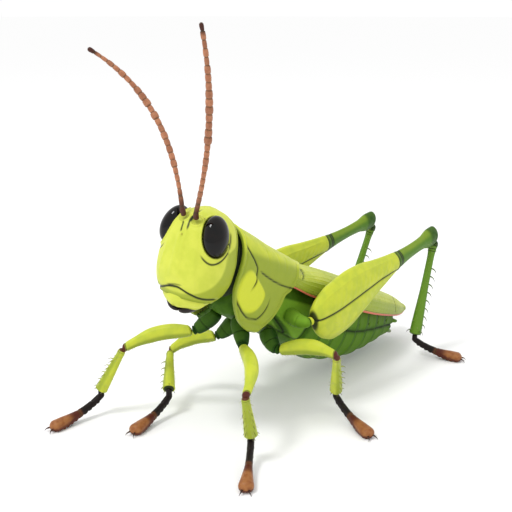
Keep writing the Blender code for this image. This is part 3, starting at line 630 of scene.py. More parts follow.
# ---------------------------------------------------------------- neck
# Soft dark skin in folds joins the head to the forebody. It shows only in the narrow gap between them.
NECK_FRONT, NECK_BACK = -0.85, 1.2
NECK_HALF_WIDTH, NECK_HALF_HEIGHT, NECK_LEVEL = 3.45, 3.7, -0.15


def neck_form(u, v):
    y = NECK_FRONT + (NECK_BACK - NECK_FRONT) * v
    closing = rounded_ends(v, 0.08, 0.08)
    angle = 2 * math.pi * u
    return np.stack((NECK_HALF_WIDTH * closing * squarer(np.sin(angle), 2.4), y,
                     NECK_LEVEL + NECK_HALF_HEIGHT * closing * squarer(np.cos(angle), 2.4)), axis=1)


neck_skin = shell_material("neck_skin", (0.014, 0.024, 0.008), (0.025, 0.04, 0.012), line=None, roughness=0.6,
                           coat=0.0, pit=0.0003, pit_strength=0.4)
neck = cast_shell("neck_folds", 96, 48, neck_form, lambda u, v, places: 0.08 * np.sin(v * 26), axes=TRUNK)
wear(neck, neck_skin, "dark_membrane", "neck")

# ---------------------------------------------------------------- pronotum
# The saddle over the forebody: a hard plate bent over the back, with a low keel, three faint cross furrows
# and a raised rim. Each hanging side lobe carries a rounded boss inside a deep fold.
SADDLE_WALL = 0.5
RIM_JOIN = 0.08
SADDLE_REACH = 12.7
SADDLE_WIDTH = ((0.0, 4.2), (0.15, 4.35), (0.4, 4.55), (0.75, 4.75), (1.0, 4.75))
SADDLE_TOP = ((0.0, 4.45), (0.25, 4.0), (0.5, 3.4), (0.8, 2.9), (1.0, 2.5))
SADDLE_SPAN, RIM_SPAN = 11.0, 10.5
SADDLE_FRONT = ((0.0, -1.1), (0.4, -0.9), (0.6, -0.8), (0.74, -0.9), (0.82, -0.5), (0.94, 1.0),
                (0.985, 2.4), (1.0, 3.1))
SADDLE_REAR = ((0.0, 11.6), (0.2, 10.9), (0.4, 9.4), (0.6, 8.9), (0.66, 8.4), (0.71, 7.5), (0.78, 7.2),
               (0.865, 6.5), (0.965, 4.9), (1.0, 4.2))
SADDLE_SHOULDER, SADDLE_DROP, SADDLE_TUCK = 0.6, 6.8, 0.2
CROSS_FURROWS = ((2.6, -1), (4.9, -0.6), (7.0, 0.6))
SHOULDER_SEAM = ((2.1, 0.05), (3.85, -0.43), (5.75, -0.77), (7.7, -0.89), (9.0, -0.8))
LOBE_FURROW = ((-0.75, 2.65), (0.17, 1.71), (1.17, 0.84), (1.77, 0.09), (1.9, -1.15), (1.3, -2.5))
LOBE_FOLD = ((-0.65, -3.2), (0.2, -4.14), (1.5, -5.0), (2.5, -5.35), (3.55, -5.3), (4.55, -4.48), (5.0, -3.2),
             (5.0, -2.4))
SADDLE_HEIGHTS = {"rim": 0.08, "rim_groove": -0.07, "furrows": -0.05, "boss": 0.2, "fold": -0.16,
                  "furrow": -0.15, "shoulder": -0.12}
# The saddle's tint is painted shade, below the shoulder and over the wall's inner face; its third colour is
# painted light, on the top of the rim and on the bosses.
SADDLE_TONES = {"line": {"fold": 0.95, "furrow": 0.95, "shoulder": 0.9, "furrows": 0.12, "rim_groove": 0.12},
                "tint": {"below_shoulder": 0.72, "inside": 1.0}, "third": {"upper_rim": 0.3, "boss": 0.75}}
LEAF_YELLOW = (0.54, 0.595, 0.045)
LEAF_MID = (0.455, 0.53, 0.045)
# Painted shade colour: for the saddle's lower sides and inner face, the thighs' undersides and the shins'
# back edges.
LEAF_PAINTED_SHADE = (0.235, 0.305, 0.026)
# Painted light colour: for the top of the saddle's rim and for the bosses.
LEAF_PAINTED_LIGHT = (0.60, 0.65, 0.035)


def saddle_skin(around, along):
    """The outer face. around runs from -1 at one lower edge to 1 at the other, along from front to rear."""
    share = np.abs(around)
    y = through(SADDLE_FRONT, share) * (1 - along) + through(SADDLE_REAR, share) * along
    run = np.clip((y + 1.1) / SADDLE_REACH, 0, 1)
    half_width = through(SADDLE_WIDTH, run)
    angle = math.pi / 2 * np.clip(share / SADDLE_SHOULDER, 0, 1)
    hang = np.clip((share - SADDLE_SHOULDER) / (1 - SADDLE_SHOULDER), 0, 1)
    x = half_width * squarer(np.sin(angle), 2.5) - SADDLE_TUCK * hang**2
    z = through(SADDLE_TOP, run) * squarer(np.cos(angle), 2.5) + 0.22 * ridge(x, 0.4) - SADDLE_DROP * hang
    return np.stack((np.sign(around) * x, y, z), axis=1)


def wall_form(skin, wall, length, girth):
    """A closed wall from an outer face that looks up in its middle. v runs out over the face and back
    inside it. Also gives the face's own (around, along, side) at a place, with side 1 outside."""
    def spot(u, v):
        return 2 * u - 1, (1 - np.cos(2 * math.pi * v)) / 2, np.where(v < 0.5, 1.0, -1.0)

    def facing(around, along):
        step = 1e-3
        more, less = np.clip(around + step, -1, 1), np.clip(around - step, -1, 1)
        ahead, behind = np.clip(along + step, 0, 1), np.clip(along - step, 0, 1)
        normals = np.cross(skin(more, along) - skin(less, along), skin(around, ahead) - skin(around, behind))
        return normals / np.maximum(np.linalg.norm(normals, axis=1, keepdims=True), 1e-12)

    def swell(gap):
        return np.sqrt(1 - (1 - np.clip(gap / (wall / 2), 0, 1)) ** 2)

    outward = np.sign(facing(np.array([0.0]), np.array([0.5]))[0, 2])

    def form(u, v):
        around, along, side = spot(u, v)
        half = wall / 2 * swell(np.minimum(along, 1 - along) * length) * swell((1 - np.abs(around)) * girth)
        return skin(around, along) + outward * facing(around, along) * (side * half - wall / 2)[:, None]

    return form, spot


saddle_form, saddle_spot = wall_form(saddle_skin, SADDLE_WALL, SADDLE_SPAN, SADDLE_SPAN)


def saddle_marks(u, v, places):
    around, along, side = saddle_spot(u, v)
    share = np.abs(around)
    x, y, z = places.T
    edge = np.minimum(np.minimum(along, 1 - along), 1 - share) * RIM_SPAN
    outer = np.where(side > 0, 1.0, 0.0) * ramp(edge, 0.0, RIM_JOIN)
    lobe = outer * ramp(np.abs(x), 2.2, 3.2)
    bow = 0.9 * ramp(share, 0.1, 0.6)
    top = ramp(share, 0.03, 0.08) * ramp(-share, -0.56, -0.46)
    furrows = sum(ridge(y - place + sweep * bow, 0.13) for place, sweep in CROSS_FURROWS)
    high = ramp(z, -2.6, -0.2)
    boss_reach = np.hypot((y - 1.7 + 0.9 * high) / (2.25 - 0.9 * high), (z + 2.5) / 2.3)
    boss = lobe * ramp(-boss_reach, -1.12, -0.84)
    rim = outer * ridge(edge - 0.22, 0.2)
    return {
        "furrows": outer * top * np.clip(furrows, 0, 1),
        "rim": rim,
        # Painted light on the upper part of the raised rim.
        "upper_rim": rim * ramp(z, -2, 2),
        "rim_groove": outer * ridge(edge - 0.6, 0.12),
        # The boss is raised, and is also painted lighter as painted light.
        "boss": boss,
        "fold": lobe * line_mark(y, z, LOBE_FOLD, 0.11),
        "furrow": lobe * line_mark(y, z, LOBE_FURROW, 0.12),
        "shoulder": outer * ramp(np.abs(x), 3.4, 4.0) * line_mark(y, z, SHOULDER_SEAM, 0.12, fade=0.1),
        # Painted shade on the hanging side below the shoulder, left off the boss.
        "below_shoulder": outer * ramp(-z, -2.4, -1.2) * (1 - boss),
        # Painted shade over the wall's inner face and its thin edge.
        "inside": 1 - outer,
    }


saddle_shell = shell_material("saddle_shell", LEAF_YELLOW, LEAF_MID, tint=LEAF_PAINTED_SHADE, third=LEAF_PAINTED_LIGHT,
                              pit=0.0005, pit_strength=0.35)
saddle = cast_shell("pronotum_saddle", 200, 230, saddle_form,
                    *from_marks(saddle_marks, SADDLE_HEIGHTS, SADDLE_TONES), TRUNK)
wear(saddle, saddle_shell, "leaf_green", "pronotum")

# ---------------------------------------------------------------- thorax
# The box that carries wings and legs: large sloping, slightly raised side plates of green shell, parted by
# dark seams, over a broad breastplate.
THORAX_START, THORAX_END = 1.0, 14.6
THORAX_WIDTH = ((1.0, 2.3), (2.0, 2.85), (4.0, 3.2), (7.0, 3.3), (9.0, 3.4), (11.5, 3.9), (14.6, 4.0))
THORAX_TOP = ((1.0, 2.5), (4.0, 2.4), (7.0, 1.6), (9.0, 1.0), (11.0, 1.0), (14.6, 1.5))
THORAX_BASE = ((1.0, -4.6), (2.5, -5.7), (6.0, -6.25), (9.0, -6.7), (12.0, -7.3), (14.6, -7.7))
SIDE_SEAMS = (((3.6, -2.8), (8.0, -6.3)), ((7.4, -4.1), (9.0, -4.85), (11.6, -6.2)),
              ((7.6, -1.6), (8.2, -4.4)))
THORAX_HEIGHTS = {"plates": 0.14, "seams": -0.16, "breast": -0.12}
THORAX_TONES = {"line": {"seams": 0.95, "breast": 0.7}, "tint": {"plates": 0.85}}
DARK_GREEN = (0.04, 0.108, 0.005)
DARK_MOTTLE = (0.055, 0.135, 0.007)
MID_GREEN = (0.095, 0.21, 0.012)
PLATE_GREEN = (0.17, 0.34, 0.025)


def trunk_ring(widths, tops, bases, y, angle, closing, power=2.3):
    middle = (through(tops, y) + through(bases, y)) / 2 - 0.4
    up, down = through(tops, y) - middle, middle - through(bases, y)
    high = squarer(np.cos(angle), power)
    return np.stack((through(widths, y) * closing * squarer(np.sin(angle), power), y,
                     middle + closing * high * np.where(high > 0, up, down)), axis=1)


def thorax_form(u, v):
    y = THORAX_START + (THORAX_END - THORAX_START) * v
    return trunk_ring(THORAX_WIDTH, THORAX_TOP, THORAX_BASE, y, 2 * math.pi * u, rounded_ends(v, 0.02, 0.02))


def thorax_marks(u, v, places):
    x, y, z = places.T
    side = ramp(np.abs(x), 1.8, 2.6)
    seams = np.clip(sum(line_mark(y, z, seam, 0.13, fade=0.05) for seam in SIDE_SEAMS), 0, 1) * side
    above = (z + 4.1) + (y - 7.4) * 0.5
    upper = (ramp(above, 0.2, 0.5) * ramp(-z, 1.9, 2.4) * ramp(y - 0.25 * (z + 4), 8.2, 8.6)
             * ramp(-y, -14.3, -13.6))
    lower = ramp(-above, 0.25, 0.6) * ramp(y, 6.8, 7.4) * ramp(z, -6.5, -6.0) * ramp(-y, -11.0, -10.2)
    breast = ridge(z - through(THORAX_BASE, y) - 0.9, 0.12) * side
    return {"seams": seams, "plates": (upper + lower * 0.8) * side, "breast": breast}


BODY_SHELL = {"line": (0.006, 0.014, 0.003), "pit": 0.0004, "pit_strength": 0.3, "coat": 0.0, "gleam": 0.07}
body_shell = shell_material("body_shell", DARK_GREEN, DARK_MOTTLE, tint=MID_GREEN, **BODY_SHELL)
thorax_shell = shell_material("thorax_shell", DARK_GREEN, DARK_MOTTLE, tint=PLATE_GREEN, **BODY_SHELL)
thorax = cast_shell("thorax_plates", 160, 180, thorax_form,
                    *from_marks(thorax_marks, THORAX_HEIGHTS, THORAX_TONES), TRUNK)
wear(thorax, thorax_shell, "deep_green", "thorax")

# ---------------------------------------------------------------- abdomen
# Eight rings of shell, each tucked under the edge of the one before it. A fold along each side parts the
# upper plate from the lower one, with a breathing hole just above it. Dark skin shows between the rings.
ABDOMEN_START, ABDOMEN_END, ABDOMEN_RINGS = 14.6, 37.6, 8
ABDOMEN_WIDTH = ((14.6, 4.0), (18.0, 3.95), (25.0, 3.5), (32.0, 2.65), (37.6, 1.7))
ABDOMEN_TOP = ((14.6, 1.5), (20.0, 1.6), (28.0, 1.5), (37.6, 1.0))
ABDOMEN_BASE = ((14.6, -7.7), (20.0, -8.8), (26.0, -8.2), (31.0, -6.6), (37.6, -3.6))
RING_PITCH = (ABDOMEN_END - ABDOMEN_START) / ABDOMEN_RINGS
SIDE_FOLD = ((14.6, -3.9), (20.0, -4.3), (26.0, -4.0), (31.0, -3.2), (37.6, -1.9))
TUCK, OVERHANG = 0.35, 0.3
RING_CROWN = ((-0.2, 0.88), (0.0, 0.95), (0.15, 0.985), (0.6, 1.0), (0.98, 1.035), (1.12, 1.02))
RING_HEIGHTS = {"fold": -0.2, "hole": -0.2, "lip": 0.03, "wrinkles": 0.006, "panel": 0.04}
RING_TONES = {"line": {"fold": 0.95, "hole": 1.0, "front_edge": 0.9, "rear_edge": 0.8},
              "tint": {"panel": 0.8}}


def abdomen_ring_form(start):
    def form(u, v):
        y = start - TUCK + (RING_PITCH + TUCK + OVERHANG) * v
        crown = through(RING_CROWN, (y - start) / RING_PITCH)
        return trunk_ring(ABDOMEN_WIDTH, ABDOMEN_TOP, ABDOMEN_BASE, y, 2 * math.pi * u,
                          crown * rounded_ends(v, 0.06, 0.05))

    return form


def abdomen_ring_marks(start):
    def marks(u, v, places):
        x, y, z = places.T
        run = (y - start) / RING_PITCH
        above_fold = z - through(SIDE_FOLD, y)
        side = ramp(np.abs(x), 0.6, 1.2)
        return {
            "fold": ridge(above_fold, 0.13) * side,
            "hole": ridge(np.hypot(y - start - 0.8, above_fold - 0.8), 0.17) * side,
            "lip": ridge(run - 0.98, 0.07),
            "wrinkles": np.sin(y * 30 + 1.2 * np.sin(z * 2)) * ramp(run, 0.45, 0.75),
            "panel": ramp(run, 0.12, 0.3) * ramp(-run, -0.98, -0.85) * (1 - ridge(above_fold, 0.35)) * side,
            "front_edge": ramp(-run, -0.07, 0.02),
            "rear_edge": ridge(run - 1.09, 0.05),
        }

    return marks


def skin_under_rings(u, v):
    y = ABDOMEN_START - 0.4 + (ABDOMEN_END - ABDOMEN_START + 0.3) * v
    return trunk_ring(ABDOMEN_WIDTH, ABDOMEN_TOP, ABDOMEN_BASE, y, 2 * math.pi * u,
                      0.9 * rounded_ends(v, 0.03, 0.03))


wear(cast_shell("abdomen_skin", 96, 60, skin_under_rings, axes=TRUNK), neck_skin, "dark_membrane")
for number in range(ABDOMEN_RINGS):
    start = ABDOMEN_START + RING_PITCH * number
    ring = cast_shell(f"abdomen_ring_{number + 1}", 128, 56, abdomen_ring_form(start),
                      *from_marks(abdomen_ring_marks(start), RING_HEIGHTS, RING_TONES), TRUNK)
    wear(ring, body_shell, "deep_green", f"abdomen_{number + 1}")

# ---------------------------------------------------------------- tail
# The last plate over the vent, two short blunt cerci and two pairs of egg-laying valves, all of hard shell.
# Each pair of valves is one piece with a seam along its middle, dark at its tip.
TAIL_START, TAIL_END, TAIL_LEVEL = 37.3, 40.0, -0.15
TAIL_STATIONS = ((37.3, 1.4, 1.0, 0.95), (38.6, 1.2, 0.75, 0.8), (39.6, 0.72, 0.48, 0.5),
                 (40.0, 0.4, 0.3, 0.3))
CERCUS_LINE = ((1.4, 37.6, -1.2), (1.5, 38.6, -1.25), (1.45, 39.4, -1.2))
VALVES = {"upper": (-1.75, 0.35), "lower": (-2.75, -0.1)}
VALVE_START, VALVE_END = 37.3, 40.9
VALVE_STATIONS = ((37.3, 0.85, 0.4), (39.0, 0.75, 0.4), (40.2, 0.5, 0.32), (40.9, 0.25, 0.24))


def tail_form(u, v):
    y = TAIL_START + (TAIL_END - TAIL_START) * v
    width, up, down = sizes_at(TAIL_STATIONS, y)
    closing = rounded_ends(v, 0.05, 0.2)
    angle = 2 * math.pi * u
    high = np.cos(angle)
    return np.stack((width * closing * np.sin(angle), y,
                     TAIL_LEVEL + closing * high * np.where(high > 0, up, down)), axis=1)


def tail_relief(u, v, places):
    return -0.08 * ridge(places[:, 0], 0.1) * ramp(places[:, 2], 0, 0.3)


def tail_tones(u, v, places):
    return {"line": 0.6 * ridge(places[:, 0], 0.07), "tint": 0.4}


def cercus_radius(v):
    return (0.34 - 0.14 * v) * rounded_ends(v, 0.1, 0.2)


def valve_tones(u, v, places):
    return {"line": ridge(places[:, 0], 0.06), "tint": ramp(v, 0.7, 0.95)}


tail_plate = cast_shell("vent_plate", 64, 40, tail_form, tail_relief, tail_tones, TRUNK)
wear(tail_plate, body_shell, "deep_green", "tail_plate")
for word, side in SIDES.items():
    line = smooth_line(np.array(CERCUS_LINE) * (side, 1, 1), 31)
    cercus = cast_shell(f"tail_feeler_{word}", 20, 40, tube_form(line, cercus_radius),
                        tones=lambda u, v, places: {"tint": 0.8}, axes=TRUNK)
    wear(cercus, body_shell, "deep_green", f"cercus_{word}")

valve_horn = shell_material("valve_horn", MID_GREEN, (0.14, 0.22, 0.03), tint=(0.03, 0.02, 0.01),
                            roughness=0.3)
for word, (level, lift) in VALVES.items():
    def valve_form(u, v, level=level, lift=lift):
        y = VALVE_START + (VALVE_END - VALVE_START) * v
        width, half = sizes_at(VALVE_STATIONS, y)
        closing = rounded_ends(v, 0.05, 0.12)
        angle = 2 * math.pi * u
        middle = level + lift * np.maximum(0, y - 38.5) / 2
        return np.stack((width * closing * np.sin(angle), y, middle + half * closing * np.cos(angle)), axis=1)

    valve = cast_shell(f"egg_valve_{word}", 40, 48, valve_form,
                       lambda u, v, places: -0.12 * ridge(places[:, 0], 0.08), valve_tones, TRUNK)
    wear(valve, valve_horn, "deep_green", f"ovipositor_{word}")

# ---------------------------------------------------------------- forewings
# Two leathery forewings lie folded over the abdomen and meet along the back. Long raised veins run from
# the root to the tip, short cross veins link them, and the lower edge is edged in pink.
WING_START, WING_TIP = 9.3, 41.0
WING_WIDTH = ((9.3, 4.0), (11.0, 4.45), (14.0, 4.7), (18.0, 4.7), (24.0, 4.5), (31.0, 3.7), (37.0, 2.7),
              (41.0, 1.5))
WING_TOP = ((9.3, 1.6), (11.0, 1.7), (12.6, 2.15), (15.0, 2.4), (20.0, 2.5), (28.0, 2.4), (36.0, 2.2),
            (41.0, 1.5))
WING_EDGE = ((9.3, -0.7), (12.8, -1.2), (20.0, -1.4), (27.0, -1.3), (35.4, -0.7), (39.5, 0.0), (41.0, 0.7))
WING_SEAM = 0.12
WING_WALL = 0.32
WING_LENGTH, WING_GIRTH = WING_TIP - WING_START, 5.0
WING_TURN = 0.72
LONG_VEINS = ((0.08, 0.1), (0.2, 0.19), (0.3, 0.34), (0.42, 0.44), (0.5, 0.54), (0.6, 0.62), (0.69, 0.7),
              (0.8, 0.76), (0.9, 0.86))
VEIN_SPREAD = ((0.0, 0.25), (0.12, 0.8), (0.3, 1.0), (0.8, 0.95), (1.0, 0.5))
CROSS_PITCH = 0.85
WING_CREASE = ((12.1, 1.95), (11.5, 1.3), (10.4, 0.3))
WING_LOBE = ((36.1, 2.05), (35.4, 1.3), (35.5, 0.6), (36.2, -0.3))
WING_HEIGHTS = {"veins": 0.05, "crosses": 0.02, "rim": 0.05, "creases": -0.08}
WING_TONES = {"line": {"crosses": 0.2, "edge_line": 0.9, "creases": 1.0},
              "tint": {"low": 0.65, "between_veins": 0.12, "tip": 0.3}, "third": {"pink_edge": 1.0}}
WING_YELLOW = (0.53, 0.585, 0.065)
WING_PINK = (0.66, 0.15, 0.10)


def wing_skin(side):
    def skin(around, along):
        """around runs from -1 at the seam on the back to 1 at the lower edge."""
        across = (around + 1) / 2
        y = WING_START + WING_LENGTH * along
        half_width, top, edge = through(WING_WIDTH, y), through(WING_TOP, y), through(WING_EDGE, y)
        middle = edge + (top - edge) * 0.26
        angle = math.pi / 2 * np.clip(across / WING_TURN, 0, 1)
        hang = np.clip((across - WING_TURN) / (1 - WING_TURN), 0, 1)
        x = WING_SEAM + (half_width - WING_SEAM) * squarer(np.sin(angle), 2.4) - 0.12 * hang**2
        z = np.where(across < WING_TURN, middle + (top - middle) * squarer(np.cos(angle), 2.4),
                     middle + (edge - middle) * hang)
        return np.stack((side * x, y, z), axis=1)

    return skin


def wing_marks(spot):
    def marks(u, v, places):
        around, along, side = spot(u, v)
        x, y, z = places.T
        across = (around + 1) / 2
        edge = np.minimum(np.minimum(along, 1 - along) * WING_LENGTH, (1 - np.abs(around)) * WING_GIRTH)
        outer = np.where(side > 0, 1.0, 0.0) * ramp(edge, 0.0, RIM_JOIN)
        reach = through(VEIN_SPREAD, along)
        rank = np.zeros_like(across)
        veins = np.zeros_like(across)
        for root, tip in LONG_VEINS:
            line = 0.5 + (root + (tip - root) * along - 0.5) * (0.55 + 0.45 * reach)
            veins = np.maximum(veins, ridge((across - line) * 12.0, 0.11))
            rank += across > line
        run = along * WING_LENGTH
        wobble = 0.18 * np.sin(run * 1.7 + rank * 2.1)
        phase = np.mod(run / CROSS_PITCH + np.mod(rank * 0.37, 1.0) + wobble, 1.0)
        crosses = ridge(np.minimum(phase, 1 - phase), 0.09) * ramp(along, 0.03, 0.08)
        creases = line_mark(y, z, WING_CREASE, 0.1) + line_mark(y, z, WING_LOBE, 0.1)
        return {
            "veins": outer * veins,
            "crosses": outer * crosses * (1 - veins),
            "rim": outer * ridge(edge - 0.2, 0.1),
            "creases": creases * outer * ramp(np.abs(x), 1.2, 1.8),
            "edge_line": outer * ridge(across - 0.9, 0.014),
            # Painted shade over the wing's hanging side.
            "low": ramp(across, 0.5, 0.62) * ramp(-across, -0.93, -0.88),
            "between_veins": 1 - veins,
            "tip": ramp(along, 0.9, 1.0),
            "pink_edge": ramp(across, 0.91, 0.93),
        }

    return marks


wing_leather = shell_material("wing_leather", WING_YELLOW, (0.45, 0.52, 0.05), tint=(0.30, 0.385, 0.035),
                              third=WING_PINK, line=(0.10, 0.135, 0.012), roughness=0.4, pit=0.00025,
                              pit_strength=0.2, coat=0.12, mottle_size=0.0016)
for word, side in SIDES.items():
    wing_face, wing_spot = wall_form(wing_skin(side), WING_WALL, WING_LENGTH, WING_GIRTH)
    wing = cast_shell(f"forewing_leather_{word}", 150, 560, wing_face,
                      *from_marks(wing_marks(wing_spot), WING_HEIGHTS, WING_TONES), TRUNK)
    wear(wing, wing_leather, "wing_green", f"forewing_{word}")

# ---------------------------------------------------------------- hips
# Six legs carry the animal. The first joint of each is a stout green knuckle of shell that comes out of the
# lower side of the trunk and bends round towards the knee. The hind ones are paler and end in a pale knob.
# Sizes in twos are for the front and middle legs first, then for the hind legs.
LEGS = {
    "front_left": {"knee": (9.2, -13.9, 7.6), "heel": (9.3, -13.1), "toe": (13.4, -18.6)},
    "front_right": {"knee": (-9.3, -14.4, 8.3), "heel": (-11.5, -16.2), "toe": (-12.2, -23.1)},
    "middle_left": {"knee": (12.1, -1.9, 9.2), "heel": (9.5, 1.8), "toe": (16.3, -0.8)},
    "middle_right": {"knee": (-8.9, -7.4, 6.0), "heel": (-5.2, -11.2), "toe": (-4.5, -17.7)},
    "hind_left": {"knee": (6.5, 28.7, 16.7), "heel": (6.8, 24.0), "toe": (12.9, 26.4)},
    "hind_right": {"knee": (-4.4, 30.0, 17.0), "heel": (-8.0, 28.6), "toe": (-10.6, 33.6)},
}
HIPS = {"front": ((2.0, 3.9, -6.0), (3.3, 3.8, -8.1)), "middle": ((2.7, 8.6, -6.6), (3.9, 8.7, -8.2)),
        "hind": ((4.1, 10.3, -4.0), (6.8, 9.5, -4.7))}
UP = np.array((0.0, 0.0, 1.0))
HIP_SUNK = -0.12
HIP_REACH = (1.0, 1.7)
HIP_RADIUS = (1.0, 0.88)
HIP_OUTLINE = ((0.0, 0.92), (0.2, 1.05), (0.4, 0.96), (0.62, 0.8), (0.78, 0.66), (0.83, 0.5), (0.91, 0.57),
               (1.0, 0.5))
HIP_SHELL = {"third": LEAF_YELLOW, "line": (0.005, 0.012, 0.003), "pit": 0.0003, "pit_strength": 0.3,
             "coat": 0.0, "gleam": 0.06}


def bent_line(root, bend, tip, count=9, first=0.0):
    """Points along a curve that leaves the root towards the bend and ends at the tip."""
    share = np.linspace(first, 1, count)[:, None]
    return (1 - share) ** 2 * root + 2 * share * (1 - share) * bend + share**2 * tip


stance_shift = neck_in_room - NECK_IN_STANCE
hip_shell = shell_material("hip_shell", (0.012, 0.045, 0.004), (0.02, 0.065, 0.006), tint=(0.05, 0.12, 0.012),
                           **HIP_SHELL)
hind_hip_shell = shell_material("hind_hip_shell", (0.10, 0.22, 0.014), (0.13, 0.265, 0.018), tint=PLATE_GREEN,
                                **HIP_SHELL)
for name, leg in LEGS.items():
    pair, word = name.split("_")
    hind = leg["hind"] = pair == "hind"
    leg["knee"] = np.array(leg["knee"]) + stance_shift
    for end in ("heel", "toe"):
        leg[end] = np.array((*leg[end], 0.0)) + stance_shift * (1, 1, 0)
    leg["root"], leg["hip"] = to_room(np.array(HIPS[pair]) * (SIDES[word], 1, 1), TRUNK)
    leg["hip_end"] = leg["hip"] + unit(leg["knee"] - leg["hip"]) * HIP_REACH[hind]
    line = bent_line(leg["root"], leg["hip"], leg["hip_end"], 61, HIP_SUNK)

    def hip_radius(v, size=HIP_RADIUS[hind]):
        return size * through(HIP_OUTLINE, v) * rounded_ends(v, 0.08, 0.1)

    def hip_tones(u, v, places, hind=hind):
        return {"line": 0.95 * ridge(v - 0.83, 0.016) + (0.0 if hind else 0.6) * ridge(v - 0.42, 0.02),
                "tint": 0.7 * ramp(np.sin(2 * math.pi * u), 0.0, 0.9) * ramp(-v, -0.8, -0.7),
                "third": ramp(v, 0.85, 0.87) if hind else 0.0}

    hip = cast_shell(f"hip_{name}", 56, 90, tube_form(line, hip_radius),
                     lambda u, v, places: -0.06 * ridge(v - 0.42, 0.02), hip_tones)
    wear(hip, hind_hip_shell if hind else hip_shell, "deep_green", f"coxa_{name}")

# ---------------------------------------------------------------- front and middle thighs
# A bowed spindle of green shell with faint lengthwise keels, with painted shade below. It covers the end of
# the hip, and its own end at the knee is reddish brown.
THIGH = ((0.0, 0.5), (0.05, 0.72), (0.3, 0.95), (0.55, 0.92), (0.82, 0.62), (0.93, 0.56), (1.0, 0.46))
THIGH_RADIUS = 0.98
THIGH_BOW, THIGH_SPREAD = 0.45, 0.8
THIGH_KEELS = (0.12, 0.38, 0.62, 0.88)
THIGH_HEIGHTS = {"keels": 0.03, "knee_groove": -0.05}
THIGH_TONES = {"line": {"knee_line": 0.8, "hip_line": 0.8}, "tint": {"under": 0.75}, "third": {"knee": 1.0}}
KNEE_BROWN = (0.085, 0.017, 0.010)


def ridge_line(u, place, width):
    """A line along a limb at one place of its way round."""
    return ridge(np.mod(u - place + 0.5, 1) - 0.5, width)


def limb_axes(start, end, up):
    along = unit(end - start)
    tall = unit(up - along * np.dot(up, along))
    return along, np.cross(tall, along), tall


def limb_share(v):
    """The share of a limb's length at v, with the grid drawn closer at both ends."""
    return v - 0.75 * np.sin(2 * math.pi * v) / (2 * math.pi)


def limb_form(start, end, up, sizes, ends=(0.04, 0.04), power=2.0, bow=0.0, spread=0.0):
    """A limb, bowed upwards and sideways. sizes(t) gives its half width and its heights above and below."""
    along, across, tall = limb_axes(start, end, up)
    length = np.linalg.norm(end - start)

    def form(u, v):
        t = limb_share(v)
        width, above, below = (size * rounded_ends(t, *ends) for size in sizes(t))
        angle = 2 * math.pi * u
        high = squarer(np.cos(angle), power)
        arch = np.sin(math.pi * np.clip(t, 0, 1))[:, None]
        middle = start + along * (length * t)[:, None] + (tall * bow + across * spread) * arch
        return (middle + across * (width * squarer(np.sin(angle), power))[:, None]
                + tall * (high * np.where(high > 0, above, below))[:, None])

    return form


def thigh_sizes(t):
    size = THIGH_RADIUS * through(THIGH, t)
    return size * 0.85, size, size


def thigh_marks(u, v, places):
    t = limb_share(v)
    keels = sum(ridge_line(u, place, 0.02) for place in THIGH_KEELS)
    return {
        "keels": keels * ramp(t, 0.1, 0.25) * ramp(-t, -0.9, -0.8),
        "knee_groove": ridge(t - 0.945, 0.012),
        "knee_line": ridge(t - 0.945, 0.008),
        "hip_line": ramp(-t, -0.02, -0.005),
        # Painted shade on the underside.
        "under": ramp(-np.cos(2 * math.pi * u), -0.2, 0.45),
        "knee": ramp(t, 0.95, 0.96),
    }


leg_shell = shell_material("leg_shell", LEAF_YELLOW, LEAF_MID, tint=LEAF_PAINTED_SHADE, third=KNEE_BROWN, pit=0.0003,
                           pit_strength=0.2)
for name, leg in LEGS.items():
    if leg["hind"]:
        continue
    start = leg["hip_end"]
    end = leg["knee"] + unit(leg["knee"] - start) * 0.1
    leg["thigh_form"] = limb_form(start, end, UP, thigh_sizes, bow=THIGH_BOW,
                                  spread=math.copysign(THIGH_SPREAD, end[0]))
    thigh = cast_shell(f"thigh_{name}", 56, 110, leg["thigh_form"],
                       *from_marks(thigh_marks, THIGH_HEIGHTS, THIGH_TONES))
    wear(thigh, leg_shell, "leaf_green", f"femur_{name}")

# ---------------------------------------------------------------- jumping thighs
# The great hind thigh is a flattened club of shell over the jumping muscle, which shows as a faint
# herringbone between keels, parted by one deep dark groove. Past a ringed waist it is slim and dark green.
CLUB_HEIGHT, CLUB_WIDTH = 3.6, 1.3
CLUB_TALL = ((0.0, 0.36), (0.05, 0.74), (0.12, 0.95), (0.23, 1.0), (0.34, 0.88), (0.47, 0.62), (0.6, 0.41),
             (0.72, 0.27), (0.8, 0.24), (0.87, 0.27), (0.935, 0.39), (0.975, 0.38), (1.0, 0.28))
CLUB_THICK = ((0.0, 0.55), (0.05, 0.8), (0.16, 1.0), (0.3, 1.0), (0.45, 0.85), (0.6, 0.66), (0.75, 0.52),
              (0.87, 0.52), (0.935, 0.66), (0.975, 0.62), (1.0, 0.5))
CLUB_GROOVE = ((0.0, -0.08), (0.12, -0.08), (0.3, -0.08), (0.45, -0.16), (0.55, -0.38), (0.63, -0.8))
CHEVRON_PITCH = 1.05
CLUB_WAIST = 0.63
WAIST_RINGS = (CLUB_WAIST, CLUB_WAIST + 0.022, CLUB_WAIST + 0.034)
CLUB_HEIGHTS = {"chevrons": 0.018, "keels": 0.06, "crests": 0.08, "groove": -0.1, "groove_banks": -0.1,
                "rings": -0.05, "crescent": 0.05}
CLUB_TONES = {"line": {"groove_floor": 1.0, "rings": 1.0, "hip_line": 0.9},
              "tint": {"past_waist": 1.0, "below_groove": 0.22, "lower": 0.12},
              "third": {"crescent": 0.85, "knee": 0.8, "waist": 0.5}}
# The dark green of the slim end past the waist and of the hind shins, also used as painted shade on the
# club's lower half.
KNEE_GREEN = (0.085, 0.195, 0.016)


def club_sizes(t):
    tall, wide = CLUB_HEIGHT * through(CLUB_TALL, t), CLUB_WIDTH * through(CLUB_THICK, t)
    near_hip = ramp(-t, -0.42, -0.12)
    return wide, tall * (0.92 - 0.1 * near_hip), tall * (1.04 + 0.14 * near_hip)


